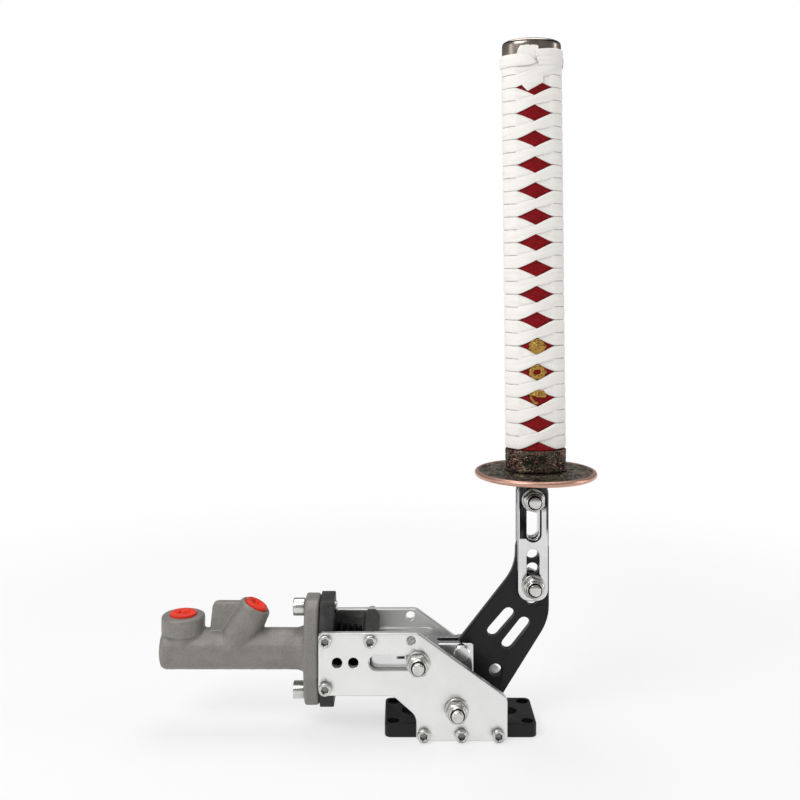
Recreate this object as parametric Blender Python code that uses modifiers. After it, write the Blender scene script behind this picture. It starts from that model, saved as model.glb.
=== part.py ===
"""Upright hydraulic parking brake lever with a cord-wrapped sword grip.

Frame: X runs along the master cylinder with the lever side positive, Y runs across the side plates, Z is up.
The origin is the middle of the base plate's underside. Pulling the grip towards -X rocks the lever plate about
its pivot bolt, and a pin in the lever plate drives the slider fork, pushrod and piston into the cylinder.
"""

import math

import bmesh
import bpy
from mathutils import Matrix, Vector

MM = 0.001
GAP = 0.3 * MM

# Side plates, base plate and what spans them
PLATE_T = 5.0 * MM
INNER_W = 44.0 * MM
PLATE_LEFT = -95.2 * MM
PLATE_RIGHT = 30.8 * MM
PLATE_TOP = 71.5 * MM
ARM_BOTTOM = 30.0 * MM
FOOT_LEFT = -30.0 * MM
TOP_EDGE_END = -28.8 * MM
SHOULDER_Z = 28.5 * MM
BASE_L = 102.0 * MM
BASE_T = 9.0 * MM
BASE_HOLE_INSET = 5.8 * MM
BASE_HOLE_Y = 15.5 * MM
BASE_HOLE_R = 4.2 * MM
BASE_WELL_INSET = 17.5 * MM
BASE_WELL_R = 6.2 * MM
SPACER_FLATS = 10.0 * MM
SPACER_X = -60.7 * MM
TOP_SCREW_DROP = 4.6 * MM
SIGHT_HOLE_X = (-82.6 * MM, -71.8 * MM)
SIGHT_HOLE_R = 3.5 * MM
SPARE_HOLE = (-33.4 * MM, 66.8 * MM)
SPARE_HOLE_R = 3.1 * MM

# Master cylinder
AXIS_Z = 52.0 * MM
BORE_R = 9.75 * MM
BORE_END_X = -178.0 * MM
BODY_R = 13.9 * MM
BODY_LEFT = -205.2 * MM
FLANGE_T = 10.4 * MM
BLOCK_T = 9.6 * MM
FLANGE_EAR = 7.625 * MM
FLANGE_TIP_HALF_W = 12.0 * MM
FLANGE_BOLT_PITCH = 57.15 * MM
SPIGOT_R = 14.5 * MM
OUTLET_X = -190.2 * MM
OUTLET_R = 15.0 * MM
OUTLET_TOP = 75.5 * MM
OUTLET_COLLAR_H = 12.0 * MM
OUTLET_PORT_R = 7.0 * MM
INLET_X = -139.8 * MM
INLET_Z = 81.9 * MM
INLET_TILT = math.radians(28.0)
INLET_R = 11.0 * MM
INLET_ROOT_R = 14.0 * MM
INLET_PORT_R = 6.0 * MM
PORT_DEPTH = 11.0 * MM
LUG_LEFT = -173.0 * MM
LUG_RIGHT = -143.0 * MM
LUG_TOP = 84.5 * MM
LUG_T = 7.0 * MM
PLUG_LIP = 1.6 * MM
PLUG_HEAD_OVER = 2.0 * MM
SPOTFACE_DEPTH = 1.0 * MM

# Piston, pushrod and slider fork
PISTON_R = BORE_R - GAP
PISTON_L = 52.0 * MM
RING_T = 1.6 * MM
RING_INSET = 2.2 * MM
ROD_R = 4.5 * MM
SLIDER_LEFT = -61.0 * MM
SLIDER_RIGHT = -17.0 * MM
SLIDER_RISE = 6.2 * MM
SLIDER_DROP = 14.8 * MM
SLIDER_SIDE_CLEARANCE = 1.0 * MM
FORK_RIGHT = 9.4 * MM
FORK_W = 18.0 * MM
FORK_THROAT_X = -15.5 * MM
FORK_PIN_R = 4.0 * MM
FORK_PIN_HEAD_R = 5.8 * MM
GUIDE_X = -28.8 * MM
GUIDE_BAR_W = 14.0 * MM
GUIDE_BAR_H = 10.0 * MM
SLOT_LEFT = -61.8 * MM
SLOT_RIGHT = -21.5 * MM
SPRING_R = 7.0 * MM
SPRING_WIRE_R = 0.8 * MM
SPRING_TURNS = 6
BOOT_R = 19.0 * MM
BOOT_FOLDS = 4
BOOT_WALL = 1.2 * MM
BOOT_NECK = 6.0 * MM

# Lever plate and its joint to the grip
PIVOT_X = -3.0 * MM
PIVOT_Z = 21.0 * MM
FORK_PIN_X = 1.3 * MM
LEVER_T = 6.0 * MM
LEVER_EYE_R = 11.0 * MM
LEVER_FLANK_X = 38.7 * MM
LEVER_W = 23.0 * MM
LEVER_TOP = 127.0 * MM
LEVER_THROAT_Z = 108.0 * MM
LEVER_THROAT_FILLET = 32.0 * MM
LEVER_KNEE_Z = 50.0 * MM
LEVER_TOE_X = 24.0 * MM
LEVER_HEEL_Z = 72.5 * MM
LEVER_HEEL_FILLET = 34.0 * MM
LEVER_SLOT_R = 4.0 * MM
LEVER_SLOT_UPPER = ((23.1 * MM, 64.7 * MM), (33.8 * MM, 77.0 * MM))
LEVER_SLOT_LOWER = ((33.0 * MM, 56.0 * MM), (44.5 * MM, 70.5 * MM))
LEVER_SPARE_HOLE = (24.8 * MM, 38.0 * MM)
ADJUST_X = LEVER_FLANK_X + LEVER_W / 2
ADJUST_LOW_Z = 86.5 * MM
ADJUST_PITCH = 10.5 * MM
ADJUST_COUNT = 4
STRAP_T = 4.0 * MM
STRAP_W = 21.4 * MM
STRAP_BOTTOM = 86.3 * MM
STRAP_TOP = 168.0 * MM
TANG_BOLT_Z = 156.0 * MM
TANG_W = 21.0 * MM
TANG_DEPTH = 95.0 * MM

# Grip
GRIP_X = 52.8 * MM
GRIP_LEAN = math.radians(-0.6)
GUARD_Z = 171.0 * MM
GUARD_T = 4.0 * MM
GUARD_R = 42.0 * MM
COLLAR_H = 15.0 * MM
GRIP_TOP = 462.0 * MM
GRIP_HALF_W = 21.0 * MM
GRIP_FLATTEN = 0.72
WRAP_T = 2.2 * MM
CAP_H = 10.0 * MM
WINDOW_PITCH = 17.56 * MM
WINDOW_LOW_Z = 208.7 * MM
WINDOW_TOP_MARGIN = 21.0 * MM
WINDOW_HALF_W = 11.2 * MM
WINDOW_HALF_H = 5.7 * MM
ORNAMENT_ROWS = (1, 2, 3)
ORNAMENT_R = 4.7 * MM
ORNAMENT_T = 0.9 * MM
STEM_W = 2.4 * MM

# Fasteners, metric sizes
M8_R = 4.0 * MM
M8_HOLE_R = 4.3 * MM
M8_FLATS = 13.0 * MM
M8_NUT_H = 8.0 * MM
M8_HEAD_H = 5.3 * MM
M8_WASHER_R = 8.0 * MM
M8_WASHER_T = 1.6 * MM
M5_R = 2.4 * MM
M5_HEAD_R = 4.25 * MM
M5_HEAD_H = 4.0 * MM
M5_LENGTH = 15.0 * MM
FLANGE_HEAD_R = 5.95 * MM
FLANGE_HEAD_H = 8.0 * MM

INNER_Y = INNER_W / 2
OUTER_Y = INNER_Y + PLATE_T
BLOCK_LEFT = PLATE_LEFT
BLOCK_RIGHT = BLOCK_LEFT + BLOCK_T
PISTON_X = BLOCK_RIGHT - RING_INSET - RING_T - GAP
FLANGE_RIGHT = BLOCK_LEFT - GAP
FLANGE_LEFT = FLANGE_RIGHT - FLANGE_T
GUARD_TOP = GUARD_Z + GUARD_T
COLLAR_Z = GUARD_TOP + GAP
WRAP_Z = COLLAR_Z + COLLAR_H + GAP
STRAP_Y = LEVER_T / 2 + GAP
TOP_SCREW_Z = PLATE_TOP - TOP_SCREW_DROP
LOW_SCREW_Z = ARM_BOTTOM + 5.3 * MM
BLOCK_SCREW_X = (BLOCK_LEFT + BLOCK_RIGHT) / 2
BASE_SCREW_XS = (FOOT_LEFT + 5 * MM, 0.0, PLATE_RIGHT - 6.2 * MM)
SIDE_SCREWS = {
    "block_upper": (BLOCK_SCREW_X, TOP_SCREW_Z),
    "block_lower": (BLOCK_SCREW_X, LOW_SCREW_Z),
    "spacer": (SPACER_X, TOP_SCREW_Z),
    "base_left": (BASE_SCREW_XS[0], BASE_T / 2),
    "base_middle": (BASE_SCREW_XS[1], BASE_T / 2),
    "base_right": (BASE_SCREW_XS[2], BASE_T / 2),
}

ALONG_X = Matrix.Rotation(math.radians(90), 4, "Y")
ALONG_Y = Matrix.Rotation(math.radians(90), 4, "X")

for old in list(bpy.data.objects):
    bpy.data.objects.remove(old)

parts = bpy.data.collections.new("parking_brake_lever")
cutters = bpy.data.collections.new("cutters")
bpy.context.scene.collection.children.link(parts)
bpy.context.scene.collection.children.link(cutters)


def material(name, colour, roughness, metallic):
    """A Principled material with a plain colour."""
    made = bpy.data.materials.new(name)
    made.use_nodes = True
    shader = made.node_tree.nodes["Principled BSDF"]
    shader.inputs["Base Color"].default_value = (*colour, 1.0)
    shader.inputs["Roughness"].default_value = roughness
    shader.inputs["Metallic"].default_value = metallic
    return made


ANODISED = material("silver_anodised", (0.80, 0.81, 0.82), 0.35, 0.9)
BLACK = material("black_anodised", (0.02, 0.02, 0.022), 0.45, 0.4)
CAST = material("cast_aluminium", (0.32, 0.31, 0.29), 0.6, 0.7)
STEEL = material("zinc_steel", (0.68, 0.68, 0.66), 0.28, 1.0)
CHROME = material("polished_steel", (0.78, 0.78, 0.79), 0.12, 1.0)
RED_PLASTIC = material("red_plug", (0.85, 0.08, 0.03), 0.4, 0.0)
RUBBER = material("black_rubber", (0.015, 0.015, 0.015), 0.7, 0.0)
BRONZE = material("bronze_bush", (0.55, 0.36, 0.16), 0.4, 1.0)
COPPER = material("aged_copper", (0.30, 0.17, 0.12), 0.45, 1.0)
GUNMETAL = material("dark_nickel", (0.14, 0.12, 0.12), 0.25, 1.0)
SKIN = material("red_ray_skin", (0.36, 0.01, 0.02), 0.5, 0.0)
CORD = material("white_cord", (0.88, 0.87, 0.85), 0.8, 0.0)
GOLD = material("gold_ornament", (0.72, 0.50, 0.14), 0.35, 1.0)
WOOD = material("pale_wood", (0.62, 0.48, 0.30), 0.7, 0.0)


def add(name, mesh, look, matrix=None, where=None):
    """Links a mesh as an object, with its faces turned outwards and round faces smooth."""
    work = bmesh.new()
    work.from_mesh(mesh)
    bmesh.ops.remove_doubles(work, verts=work.verts, dist=1e-6)
    bmesh.ops.recalc_face_normals(work, faces=work.faces)
    work.to_mesh(mesh)
    work.free()
    mesh.shade_smooth()
    mesh.set_sharp_from_angle(angle=math.radians(32))
    mesh.materials.clear()
    mesh.materials.append(look)
    made = bpy.data.objects.new(name, mesh)
    made.matrix_world = matrix or Matrix.Identity(4)
    (where or parts).objects.link(made)
    return made


def arc(centre, radius, start, end, steps):
    """Points on an arc, both ends included, angles in degrees."""
    angles = [math.radians(start + (end - start) * i / steps) for i in range(steps + 1)]
    return [(centre[0] + radius * math.cos(a), centre[1] + radius * math.sin(a)) for a in angles]


def circle(x, z, radius, sides=16):
    """A full circle of points."""
    return arc((x, z), radius, 0, 360 - 360 / sides, sides - 1)


def slot(start, end, radius, steps=6):
    """A slot with round ends between two centres."""
    turn = math.degrees(math.atan2(end[1] - start[1], end[0] - start[0]))
    return arc(end, radius, turn - 90, turn + 90, steps) + arc(start, radius, turn + 90, turn + 270, steps)


def rounded(corners, steps=4):
    """An outline whose corners (x, z, radius) are filleted."""
    points = []
    for i, (x, z, radius) in enumerate(corners):
        here = Vector((x, z))
        back = (Vector(corners[i - 1][:2]) - here).normalized()
        ahead = (Vector(corners[(i + 1) % len(corners)][:2]) - here).normalized()
        half = back.angle(ahead) / 2
        if radius <= 0 or half > math.radians(89.5):
            points.append((x, z))
            continue
        centre = here + (back + ahead).normalized() * (radius / math.sin(half))
        first = here + back * (radius / math.tan(half)) - centre
        sweep = first.angle_signed(here + ahead * (radius / math.tan(half)) - centre)
        start = math.atan2(first.y, first.x)
        for k in range(steps + 1):
            angle = start - sweep * k / steps
            points.append((centre.x + radius * math.cos(angle), centre.y + radius * math.sin(angle)))
    return points


def flat(name, outline, thickness, holes=(), chamfer=0.0):
    """The mesh of a flat outline with holes, centred on its thickness, lying in its own XY plane.

    A chamfer runs round the outline only, and the holes then go through as plain drillings.
    """
    if chamfer and holes:
        drills = [(flat("drill", hole, 2 * thickness), Matrix.Identity(4)) for hole in holes]
        return cut_mesh(flat(name, outline, thickness, chamfer=chamfer), drills)
    curve = bpy.data.curves.new(name, "CURVE")
    curve.dimensions = "2D"
    curve.fill_mode = "BOTH"
    curve.extrude = thickness / 2 - chamfer
    curve.bevel_depth = chamfer
    curve.bevel_resolution = 0
    curve.offset = -chamfer
    for points in [outline, *holes]:
        spline = curve.splines.new("POLY")
        spline.points.add(len(points) - 1)
        for point, (x, y) in zip(spline.points, points):
            point.co = (x, y, 0, 1)
        spline.use_cyclic_u = True
    maker = bpy.data.objects.new(name + "_outline", curve)
    cutters.objects.link(maker)
    mesh = evaluated(maker)
    bpy.data.objects.remove(maker)
    bpy.data.curves.remove(curve)
    work = bmesh.new()
    work.from_mesh(mesh)
    bmesh.ops.remove_doubles(work, verts=work.verts, dist=1e-6)
    work.to_mesh(mesh)
    work.free()
    return mesh


def evaluated(thing):
    """A plain mesh of an object with its modifiers applied."""
    bpy.context.view_layer.update()
    graph = bpy.context.evaluated_depsgraph_get()
    return bpy.data.meshes.new_from_object(thing.evaluated_get(graph))


def turned(name, profile, sides=24, squash=1.0):
    """A mesh turned about Z from (radius, height) points; the profile closes on the axis or on itself."""
    mesh = bpy.data.meshes.new(name)
    work = bmesh.new()
    made = [work.verts.new((radius, 0, height)) for radius, height in profile]
    on_axis = profile[0][0] < 1e-9 and profile[-1][0] < 1e-9
    ends = zip(made, made[1:] if on_axis else made[1:] + made[:1])
    for start, end in ends:
        work.edges.new((start, end))
    work.to_mesh(mesh)
    work.free()
    maker = bpy.data.objects.new(name + "_profile", mesh)
    cutters.objects.link(maker)
    screw = maker.modifiers.new("turn", "SCREW")
    screw.steps = screw.render_steps = sides
    screw.use_merge_vertices = True
    screw.merge_threshold = 1e-5
    done = evaluated(maker)
    bpy.data.objects.remove(maker)
    done.transform(Matrix.Diagonal((1, squash, 1, 1)))
    return done


def tube(name, outer, inner, length, sides=18):
    """A plain tube centred on its length."""
    half = length / 2
    return turned(name, [(outer, half), (outer, -half), (inner, -half), (inner, half)], sides)


def rod(name, radius, length, sides=16):
    """A plain cylinder centred on its length."""
    return turned(name, [(0, length / 2), (radius, length / 2), (radius, -length / 2), (0, -length / 2)], sides)


def box(name, low, high):
    """A box between two corners."""
    mesh = bpy.data.meshes.new(name)
    work = bmesh.new()
    size = Vector(high) - Vector(low)
    middle = (Vector(high) + Vector(low)) / 2
    bmesh.ops.create_cube(work, size=1.0, matrix=Matrix.Translation(middle) @ Matrix.Diagonal((*size, 1)))
    work.to_mesh(mesh)
    work.free()
    return mesh


def joined(name, meshes_and_places):
    """One mesh that holds several bodies, each moved to its place."""
    work = bmesh.new()
    for mesh, place in meshes_and_places:
        copy = mesh.copy()
        copy.transform(place)
        work.from_mesh(copy)
        bpy.data.meshes.remove(copy)
    mesh = bpy.data.meshes.new(name)
    work.to_mesh(mesh)
    work.free()
    return mesh


def at(x, y, z):
    """A translation."""
    return Matrix.Translation((x, y, z))


def cut(target, meshes_and_places, operation="DIFFERENCE"):
    """A live Boolean with one helper object made of all the given bodies."""
    helper = add(target.name + "_" + operation.lower(), joined("helper", meshes_and_places), STEEL, where=cutters)
    helper.hide_render = True
    helper.display_type = "WIRE"
    change = target.modifiers.new(operation.lower(), "BOOLEAN")
    change.operation = operation
    change.solver = "EXACT"
    change.object = helper
    return helper


def cut_mesh(mesh, tools, operation="DIFFERENCE"):
    """The mesh after a Boolean with the given bodies."""
    work = add("work", mesh, STEEL, where=cutters)
    helper = cut(work, tools, operation)
    done = evaluated(work)
    bpy.data.objects.remove(work)
    bpy.data.objects.remove(helper)
    return done


def hexagon(across_flats):
    """The six corners of a hexagon."""
    return circle(0, 0, across_flats / math.sqrt(3), 6)


# Frame: side plates, base, block and spacer


def side_plate(name, side):
    """One side plate; side is -1 for the front one and 1 for the rear one."""
    outline = rounded(
        [
            (PLATE_LEFT, PLATE_TOP, 3 * MM),
            (PLATE_LEFT, ARM_BOTTOM, 5 * MM),
            (FOOT_LEFT - 15.5 * MM, ARM_BOTTOM, 6 * MM),
            (FOOT_LEFT, ARM_BOTTOM - 13.5 * MM, 9 * MM),
            (FOOT_LEFT, 0, 3 * MM),
            (PLATE_RIGHT, 0, 3 * MM),
            (PLATE_RIGHT, SHOULDER_Z, 6 * MM),
            (TOP_EDGE_END, PLATE_TOP, 6 * MM),
        ]
    )
    slot_r = GUIDE_BAR_H / 2 + GAP
    holes = [circle(x, z, M5_R + GAP, 12) for x, z in SIDE_SCREWS.values()]
    holes += [circle(x, AXIS_Z, SIGHT_HOLE_R) for x in SIGHT_HOLE_X]
    holes += [circle(*SPARE_HOLE, SPARE_HOLE_R)]
    holes += [circle(PIVOT_X, PIVOT_Z, M8_HOLE_R)]
    holes += [slot((SLOT_LEFT + slot_r, AXIS_Z), (SLOT_RIGHT - slot_r, AXIS_Z), slot_r)]
    mesh = flat(name, outline, PLATE_T, holes, chamfer=0.4 * MM)
    return add(name, mesh, ANODISED, at(0, side * (INNER_Y + PLATE_T / 2), 0) @ ALONG_Y)


def base_plate():
    """The floor plate, with mounting holes in both lobes and threaded holes in its edges."""
    half_l, half_w = BASE_L / 2, INNER_Y - GAP
    corners = [(half_l, half_w), (-half_l, half_w), (-half_l, -half_w), (half_l, -half_w)]
    hole_x, well_x = half_l - BASE_HOLE_INSET, half_l - BASE_WELL_INSET
    holes = [circle(i * hole_x, j * BASE_HOLE_Y, BASE_HOLE_R) for i in (-1, 1) for j in (-1, 1)]
    holes += [circle(i * well_x, 0, BASE_WELL_R) for i in (-1, 1)]
    outline = rounded([(x, y, 4 * MM) for x, y in corners])
    mesh = flat("base", outline, BASE_T, holes, chamfer=0.5 * MM)
    made = add("base_plate", mesh, BLACK, at(0, 0, BASE_T / 2))
    drill = rod("drill", M5_R + GAP, 2 * M5_LENGTH, 12)
    cut(made, [(drill, at(x, j * INNER_Y, BASE_T / 2) @ ALONG_Y) for x in BASE_SCREW_XS for j in (-1, 1)])
    return made


def flange_outline(middle_half_w, shoulder, corner):
    """Lozenge outline of the cylinder flange, as (across, up) points about the cylinder axis."""
    tip, top = FLANGE_TIP_HALF_W, FLANGE_BOLT_PITCH / 2 + FLANGE_EAR
    right = [(tip, -top, corner), (middle_half_w, -shoulder, 4 * MM)]
    right += [(middle_half_w, shoulder, 4 * MM), (tip, top, corner)]
    return rounded(right + [(-x, z, r) for x, z, r in reversed(right)])


def across_x(mesh):
    """Turns a flat mesh so that its thickness lies along X, its first axis along Y and its second along Z."""
    mesh.transform(Matrix(((0, 0, 1, 0), (1, 0, 0, 0), (0, 1, 0, 0), (0, 0, 0, 1))))
    return mesh


def bolt_holes():
    """The two flange bolt holes as outlines."""
    return [circle(0, i * FLANGE_BOLT_PITCH / 2, M8_HOLE_R, 16) for i in (-1, 1)]


def mount_block():
    """The block between the side plates that the cylinder bolts to."""
    shoulder = PLATE_TOP - AXIS_Z
    holes = bolt_holes() + [circle(0, 0, SPIGOT_R + GAP, 28)]
    outline = flange_outline(INNER_Y - GAP, shoulder, 4 * MM)
    mesh = across_x(flat("block", outline, BLOCK_T, holes, chamfer=0.4 * MM))
    made = add("cylinder_mount_block", mesh, BLACK, at((BLOCK_LEFT + BLOCK_RIGHT) / 2, 0, AXIS_Z))
    drill = rod("drill", M5_R + GAP, 2 * (M5_LENGTH - PLATE_T), 12)
    heights = (TOP_SCREW_Z, LOW_SCREW_Z)
    cut(made, [(drill, at(BLOCK_SCREW_X, j * INNER_Y, z) @ ALONG_Y) for z in heights for j in (-1, 1)])
    return made


def top_spacer():
    """The hexagonal bar that ties the tops of the side plates together."""
    mesh = flat("spacer", hexagon(SPACER_FLATS), INNER_W - 2 * GAP, [circle(0, 0, M5_R + GAP, 12)])
    return add("top_spacer", mesh, BLACK, at(SPACER_X, 0, TOP_SCREW_Z) @ ALONG_Y)


# Master cylinder


def inlet_place(along):
    """A place on the slanted inlet port's axis, with Z pointing out of the port."""
    out = Vector((math.sin(INLET_TILT), 0, math.cos(INLET_TILT)))
    point = Vector((INLET_X, 0, INLET_Z)) + out * along
    return Matrix.Translation(point) @ Matrix.Rotation(INLET_TILT, 4, "Y")


def port_cutter(port_r):
    """A port's hole with the spotface that its plug's head sits in, cut down from a boss's face."""
    head = port_r + PLUG_HEAD_OVER + GAP
    over = 5 * MM
    profile = [
        (0, over),
        (head, over),
        (head, -SPOTFACE_DEPTH),
        (port_r, -SPOTFACE_DEPTH),
        (port_r, -PORT_DEPTH),
        (0, -PORT_DEPTH),
    ]
    return turned("port", profile, 20)


def cylinder_body():
    """The casting: barrel, flange, outlet boss, slanted inlet boss and lug, with its bore and ports."""
    barrel = turned(
        "barrel",
        [
            (0, BODY_LEFT),
            (BODY_R - 4 * MM, BODY_LEFT),
            (BODY_R - 1.2 * MM, BODY_LEFT + 1.2 * MM),
            (BODY_R, BODY_LEFT + 4 * MM),
            (BODY_R, FLANGE_LEFT - 5 * MM),
            (BODY_R + 1.2 * MM, FLANGE_LEFT - 1.5 * MM),
            (BODY_R + 3 * MM, FLANGE_LEFT + 1 * MM),
            (SPIGOT_R, FLANGE_LEFT + 4 * MM),
            (SPIGOT_R, BLOCK_RIGHT),
            (0, BLOCK_RIGHT),
        ],
        28,
    )
    lie = at(0, 0, AXIS_Z) @ ALONG_X
    flange = across_x(flat("flange", flange_outline(INNER_Y, 12 * MM, 9 * MM), FLANGE_T, bolt_holes(), 1.2 * MM))
    outlet = turned(
        "outlet",
        [
            (0, OUTLET_TOP),
            (OUTLET_R - 1.2 * MM, OUTLET_TOP),
            (OUTLET_R, OUTLET_TOP - 1.2 * MM),
            (OUTLET_R, OUTLET_TOP - OUTLET_COLLAR_H),
            (OUTLET_R - 2 * MM, OUTLET_TOP - OUTLET_COLLAR_H - 2 * MM),
            (OUTLET_R - 2 * MM, AXIS_Z - 4 * MM),
            (OUTLET_R - 6 * MM, AXIS_Z - 10 * MM),
            (0, AXIS_Z - 10 * MM),
        ],
        24,
    )
    root = (INLET_Z - AXIS_Z) / math.cos(INLET_TILT) - 2 * MM
    inlet = turned(
        "inlet",
        [(0, 0), (INLET_R - 1 * MM, 0), (INLET_R, -1 * MM), (INLET_ROOT_R, -root), (0, -root)],
        22,
    )
    lug_outline = rounded(
        [
            (LUG_LEFT, AXIS_Z, 0),
            (LUG_RIGHT, AXIS_Z, 0),
            (LUG_RIGHT, LUG_TOP, 0),
            (LUG_LEFT + 3.5 * MM, LUG_TOP, 3.5 * MM),
        ]
    )
    lug = flat("lug", lug_outline, LUG_T, chamfer=0.6 * MM)
    made = add("cylinder_body", barrel, CAST, lie)
    cut(made, [(flange, at((FLANGE_LEFT + FLANGE_RIGHT) / 2, 0, AXIS_Z))], "UNION")
    cut(made, [(outlet, at(OUTLET_X, 0, 0))], "UNION")
    cut(made, [(lug, ALONG_Y)], "UNION")
    cut(made, [(inlet, inlet_place(0))], "UNION")
    bore = turned(
        "bore",
        [
            (0, OUTLET_X),
            (4 * MM, OUTLET_X),
            (4 * MM, BORE_END_X),
            (BORE_R, BORE_END_X),
            (BORE_R, BLOCK_RIGHT + 5 * MM),
            (0, BLOCK_RIGHT + 5 * MM),
        ],
        24,
    )
    outlet_drill = rod("outlet_drill", 3 * MM, OUTLET_TOP - AXIS_Z, 12)
    inlet_drill = rod("inlet_drill", 1.5 * MM, 20 * MM, 12)
    cut(made, [(bore, lie)])
    cut(made, [(port_cutter(OUTLET_PORT_R), at(OUTLET_X, 0, OUTLET_TOP)), (port_cutter(INLET_PORT_R), inlet_place(0))])
    drill_z = (OUTLET_TOP + AXIS_Z) / 2 - 1 * MM
    cut(made, [(outlet_drill, at(OUTLET_X, 0, drill_z)), (inlet_drill, inlet_place(-PORT_DEPTH - 8 * MM))])
    return made


def port_plug(name, port_r, place):
    """A red shipping plug: a flat head with a hexagonal dimple, sunk in the port's spotface, over a stem."""
    stem = port_r - GAP
    head = port_r + PLUG_HEAD_OVER
    seat = GAP - SPOTFACE_DEPTH
    mesh = turned(
        name,
        [
            (0, PLUG_LIP),
            (head - 0.5 * MM, PLUG_LIP),
            (head, PLUG_LIP - 0.5 * MM),
            (head, seat),
            (stem, seat),
            (stem, 1 * MM - PORT_DEPTH),
            (0, 1 * MM - PORT_DEPTH),
        ],
        20,
    )
    made = add(name, mesh, RED_PLASTIC, place)
    cut(made, [(flat("dimple", hexagon(port_r), 1.6 * MM), place @ at(0, 0, PLUG_LIP))])
    return made


def flange_bolts():
    """Two socket-head bolts through the flange and the block."""
    length = FLANGE_T + GAP + BLOCK_T + 2 * MM
    head_r, head_h = FLANGE_HEAD_R, FLANGE_HEAD_H
    for name, side in (("flange_bolt_lower", -1), ("flange_bolt_upper", 1)):
        place = at(FLANGE_LEFT - GAP, 0, AXIS_Z + side * FLANGE_BOLT_PITCH / 2) @ ALONG_X
        add(name, socket_screw(head_r, head_h, M8_R - 0.1 * MM, length, 6.5 * MM), STEEL, place)


def socket_screw(head_r, head_h, shank_r, length, socket):
    """A socket-head screw: the head is below Z 0 and the shank points up."""
    body = turned(
        "screw",
        [
            (0, length),
            (shank_r, length),
            (shank_r, 0),
            (head_r, 0),
            (head_r, 0.6 * MM - head_h),
            (head_r - 0.6 * MM, -head_h),
            (0, -head_h),
        ],
        12,
    )
    depth = 0.6 * head_h
    return cut_mesh(body, [(flat("socket", hexagon(socket), 2 * depth), at(0, 0, -head_h))])


def side_screws(face, side):
    """The six socket-head screws of one side plate."""
    turn = ALONG_Y.inverted() if side < 0 else ALONG_Y
    for use, (x, z) in SIDE_SCREWS.items():
        mesh = socket_screw(M5_HEAD_R, M5_HEAD_H, M5_R, M5_LENGTH - GAP, 4 * MM)
        add(f"{use}_screw_{face}", mesh, STEEL, at(x, side * (OUTER_Y + GAP), z) @ turn)


def dust_boot():
    """The rubber bellows from the mounting block down to a neck on the pushrod."""
    left, right = BLOCK_RIGHT + GAP, SLIDER_LEFT - BOOT_NECK
    steps = 2 * BOOT_FOLDS
    outer = []
    for i in range(steps + 1):
        radius = BOOT_R - (3 * MM if i % 2 else 0) - i * 0.4 * MM
        outer.append((radius, left + (right - left) * i / steps))
    inner = [(radius - BOOT_WALL, along) for radius, along in reversed(outer[:-1])]
    neck = ROD_R + GAP
    outer += [(neck + BOOT_WALL, right), (neck + BOOT_WALL, SLIDER_LEFT - GAP)]
    outer += [(neck, SLIDER_LEFT - GAP), (neck, right - BOOT_WALL)]
    return add("dust_boot", turned("boot", outer + inner, 18), RUBBER, at(0, 0, AXIS_Z) @ ALONG_X)


def retaining_ring():
    """The washer that keeps the piston in the bore."""
    mesh = tube("ring", BORE_R - GAP / 2, ROD_R + 1.5 * MM, RING_T)
    middle = BLOCK_RIGHT - RING_INSET - RING_T / 2
    return add("retaining_ring", mesh, STEEL, at(middle, 0, AXIS_Z) @ ALONG_X)


# What slides: piston, pushrod, fork and guide bolt


def piston():
    """The piston, with two seal grooves and a cup for the pushrod's round end."""
    left = -PISTON_L
    groove = PISTON_R - 2.2 * MM
    mesh = turned(
        "piston",
        [
            (0, left),
            (PISTON_R - 1 * MM, left),
            (PISTON_R, left + 1 * MM),
            (PISTON_R, left + 4 * MM),
            (groove, left + 4 * MM),
            (groove, left + 8 * MM),
            (PISTON_R, left + 8 * MM),
            (PISTON_R, -8 * MM),
            (groove, -8 * MM),
            (groove, -5 * MM),
            (PISTON_R, -5 * MM),
            (PISTON_R, 0),
            (ROD_R + 2 * MM, 0),
            (ROD_R + GAP, -2 * MM),
            (ROD_R + GAP, -9 * MM),
            (0, -12.5 * MM),
        ],
        20,
    )
    return add("piston", mesh, ANODISED, at(PISTON_X, 0, AXIS_Z) @ ALONG_X)


def piston_seals():
    """The pressure cup and the rear seal in the piston's grooves."""
    inner = PISTON_R - 2.2 * MM + GAP
    outer = BORE_R - GAP / 2
    made = []
    for name, length, along in (("piston_cup", 3.4 * MM, 6 * MM - PISTON_L), ("piston_seal", 2.4 * MM, -6.5 * MM)):
        mesh = tube(name, outer, inner, length)
        made.append(add(name, mesh, RUBBER, at(PISTON_X + along, 0, AXIS_Z) @ ALONG_X))
    return made


def return_spring():
    """The coil that pushes the piston back, between the bore's end and the piston."""
    left = BORE_END_X + GAP + SPRING_WIRE_R
    right = PISTON_X - PISTON_L - GAP - SPRING_WIRE_R
    per_turn = 10
    count = SPRING_TURNS * per_turn + 1
    curve = bpy.data.curves.new("spring", "CURVE")
    curve.dimensions = "3D"
    curve.bevel_depth = SPRING_WIRE_R
    curve.bevel_resolution = 1
    curve.use_fill_caps = True
    spline = curve.splines.new("POLY")
    spline.points.add(count - 1)
    for i, point in enumerate(spline.points):
        angle = 2 * math.pi * i / per_turn
        along = left + (right - left) * i / (count - 1)
        point.co = (along, SPRING_R * math.cos(angle), AXIS_Z + SPRING_R * math.sin(angle), 1)
    maker = bpy.data.objects.new("spring_path", curve)
    cutters.objects.link(maker)
    mesh = evaluated(maker)
    bpy.data.objects.remove(maker)
    return add("return_spring", mesh, STEEL)


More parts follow.
